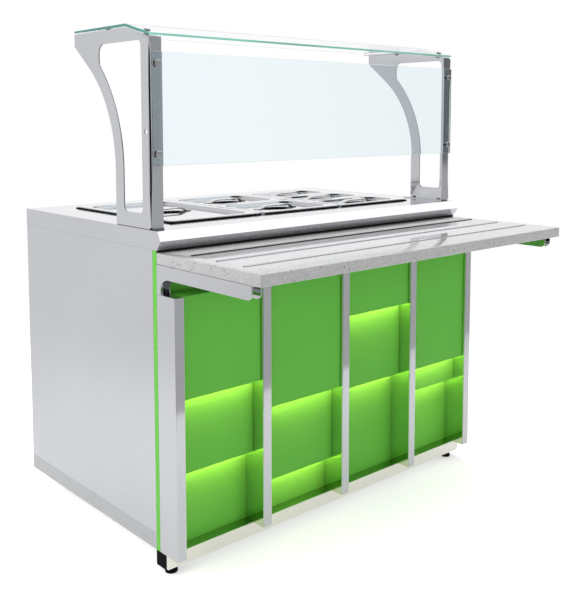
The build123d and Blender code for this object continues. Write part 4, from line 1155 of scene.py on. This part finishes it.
def roomTone(tree, direction, folded, overhead=False):  # brightness of the mirrored room in a direction
    r = room

    def towards(heading, aim):
        return vectorCalc(tree, "DOT_PRODUCT", heading, aim)

    sideways, back, rise = axes(tree, direction)
    level = vectorCalc(tree, "NORMALIZE", vectorCalc(tree, "MULTIPLY", direction, (1.0, 1.0, 0.0)))
    tone = plus(tree, towards(direction, r["lean"]), r["tone"])
    for aim, strength in r["glows"] + (r["shades"] if overhead else []):
        tone = plus(tree, tone, eased(tree, towards(direction, aim), r["glowEdge"], (0.0, strength)))
    if overhead:
        slope = plus(tree, rise, times(tree, sideways, r["boxTilt"]))
        panel = eased(tree, back, r["boxBack"], (r["softbox"], r["ceiling"]))
        tone = between(tree, eased(tree, slope, r["boxEdge"]), tone, panel)
        screen = times(tree, eased(tree, rise, r["screenFoot"], (0.0, r["deepest"])),
                       eased(tree, rise, r["screenHead"], (1.0, 0.0)))  # a dark screen low over the horizon
        screen = times(tree, screen, eased(tree, towards(level, r["screen"]), r["screenSides"]))
        screen = times(tree, screen, calc(tree, "MAXIMUM", folded, r["plainShare"]))
        tone = times(tree, tone, without(tree, screen))
    facing = plus(tree, towards(level, r["dark"]), remap(tree, rise, r["widerRise"], (0.0, r["wider"])))
    dark = times(tree, eased(tree, facing, r["darkSides"], (0.0, r["deepest"])),
                 eased(tree, rise, r["darkHead"], (1.0, 0.0)))
    single = remap(tree, rise, r["lowRise"], (r["lowShare"], r["plainShare"]))
    return times(tree, tone, without(tree, times(tree, dark, calc(tree, "MAXIMUM", folded, single))))


def mixShaders(tree, share, first, second):
    return addNode(tree, "MixShader", {0: share, 1: first, 2: second}).outputs[0]


def makeWorld():
    world = bpy.data.worlds.new("studioWorld")
    scene.world = world
    world.use_nodes = True
    tree = world.node_tree
    tree.nodes.clear()

    def sky(strength):
        return addNode(tree, "Background", {"Color": whitePaint, "Strength": strength}).outputs[0]

    seen, bounced, folded = rayKinds(tree)
    heading = addNode(tree, "TexCoord").outputs["Generated"]
    lit = mixShaders(tree, bounced, sky(studio["worldLight"]), sky(roomTone(tree, heading, folded, True)))
    addNode(tree, "OutputWorld", {0: mixShaders(tree, seen, lit, sky(1.0))})


def makeFloor():
    f = floorLook
    half = f["half"]
    mesh = bpy.data.meshes.new("floor")
    corners = [(-half, -half, 0), (half, -half, 0), (half, half, 0), (-half, half, 0)]
    mesh.from_pydata(corners, [], [(0, 1, 2, 3)])
    floor = bpy.data.objects.new("floor", mesh)
    scene.collection.objects.link(floor)
    mat, tree = startMaterial(
        "floorPaint", colour=f["colour"], rough=0.9, specular=0.0, glowColour=whitePaint)
    seen, bounced, folded = rayKinds(tree)
    spot = addNode(tree, "TexCoord").outputs["Object"]
    away = vectorCalc(tree, "LENGTH", spot)
    setSockets(mat, glow=times(tree, seen, f["glow"]))
    white = addNode(tree, "Emission", {"Strength": 1.0}).outputs[0]
    painted = tree.nodes["Principled BSDF"].outputs[0]
    paper = mixShaders(tree, times(tree, seen, eased(tree, away, f["whiteFrom"])), painted, white)
    front = calc(tree, "LESS_THAN", axes(tree, spot)[1], f["frontEdge"])
    far = roomTone(tree, vectorCalc(tree, "NORMALIZE", spot), folded)
    tone = between(tree, eased(tree, away, f["nearFade"], (1.0, 0.0)), far, f["nearTone"])
    dim = calc(tree, "MINIMUM", plus(tree, far, f["frontLift"]), f["frontTone"])
    mirrored = addNode(tree, "Emission", {"Strength": between(tree, front, tone, dim)}).outputs[0]
    reach = calc(tree, "MAXIMUM", front, eased(tree, away, f["mirrorFrom"], f["mirrorShare"]))
    last = mixShaders(tree, times(tree, bounced, reach), paper, mirrored)
    plug(tree, last, tree.nodes["Material Output"].inputs[0])
    mesh.materials.append(mat)
    floorShade.objects.link(floor)
    floorShade.collection_objects[0].light_linking.link_state = "EXCLUDE"


def makeLamps():
    for name, place, aim, size, power in studio["lamps"]:
        obj = addLamp(name, place, size, power)
        obj.rotation_mode = "QUATERNION"
        obj.rotation_quaternion = (Vector(aim) - Vector(place)).to_track_quat("-Z", "Y")


photoCamera = {
    "place": (-1.8035, -2.0144, 1.1974), "yaw": 42.143, "pitch": 5.135, "focalPixels": 857.3,
    "frame": (587, 609), "shift": -0.18, "sensor": 36.0, "clip": (0.05, 60.0),
}


def makeCamera():
    c = photoCamera
    lens = bpy.data.cameras.new("photoCamera")
    lens.sensor_width = c["sensor"]
    lens.lens = c["focalPixels"] * c["sensor"] / max(c["frame"])
    lens.shift_y = c["shift"]
    lens.clip_start, lens.clip_end = c["clip"]
    obj = bpy.data.objects.new("photoCamera", lens)
    obj.location = c["place"]
    obj.rotation_euler = (math.radians(90 - c["pitch"]), 0, -math.radians(c["yaw"]))
    scene.collection.objects.link(obj)
    scene.camera = obj


scene.view_settings.view_transform = "Standard"
makeWorld()
makeFloor()
makeLamps()
makeCamera()
print("studio and camera ready")
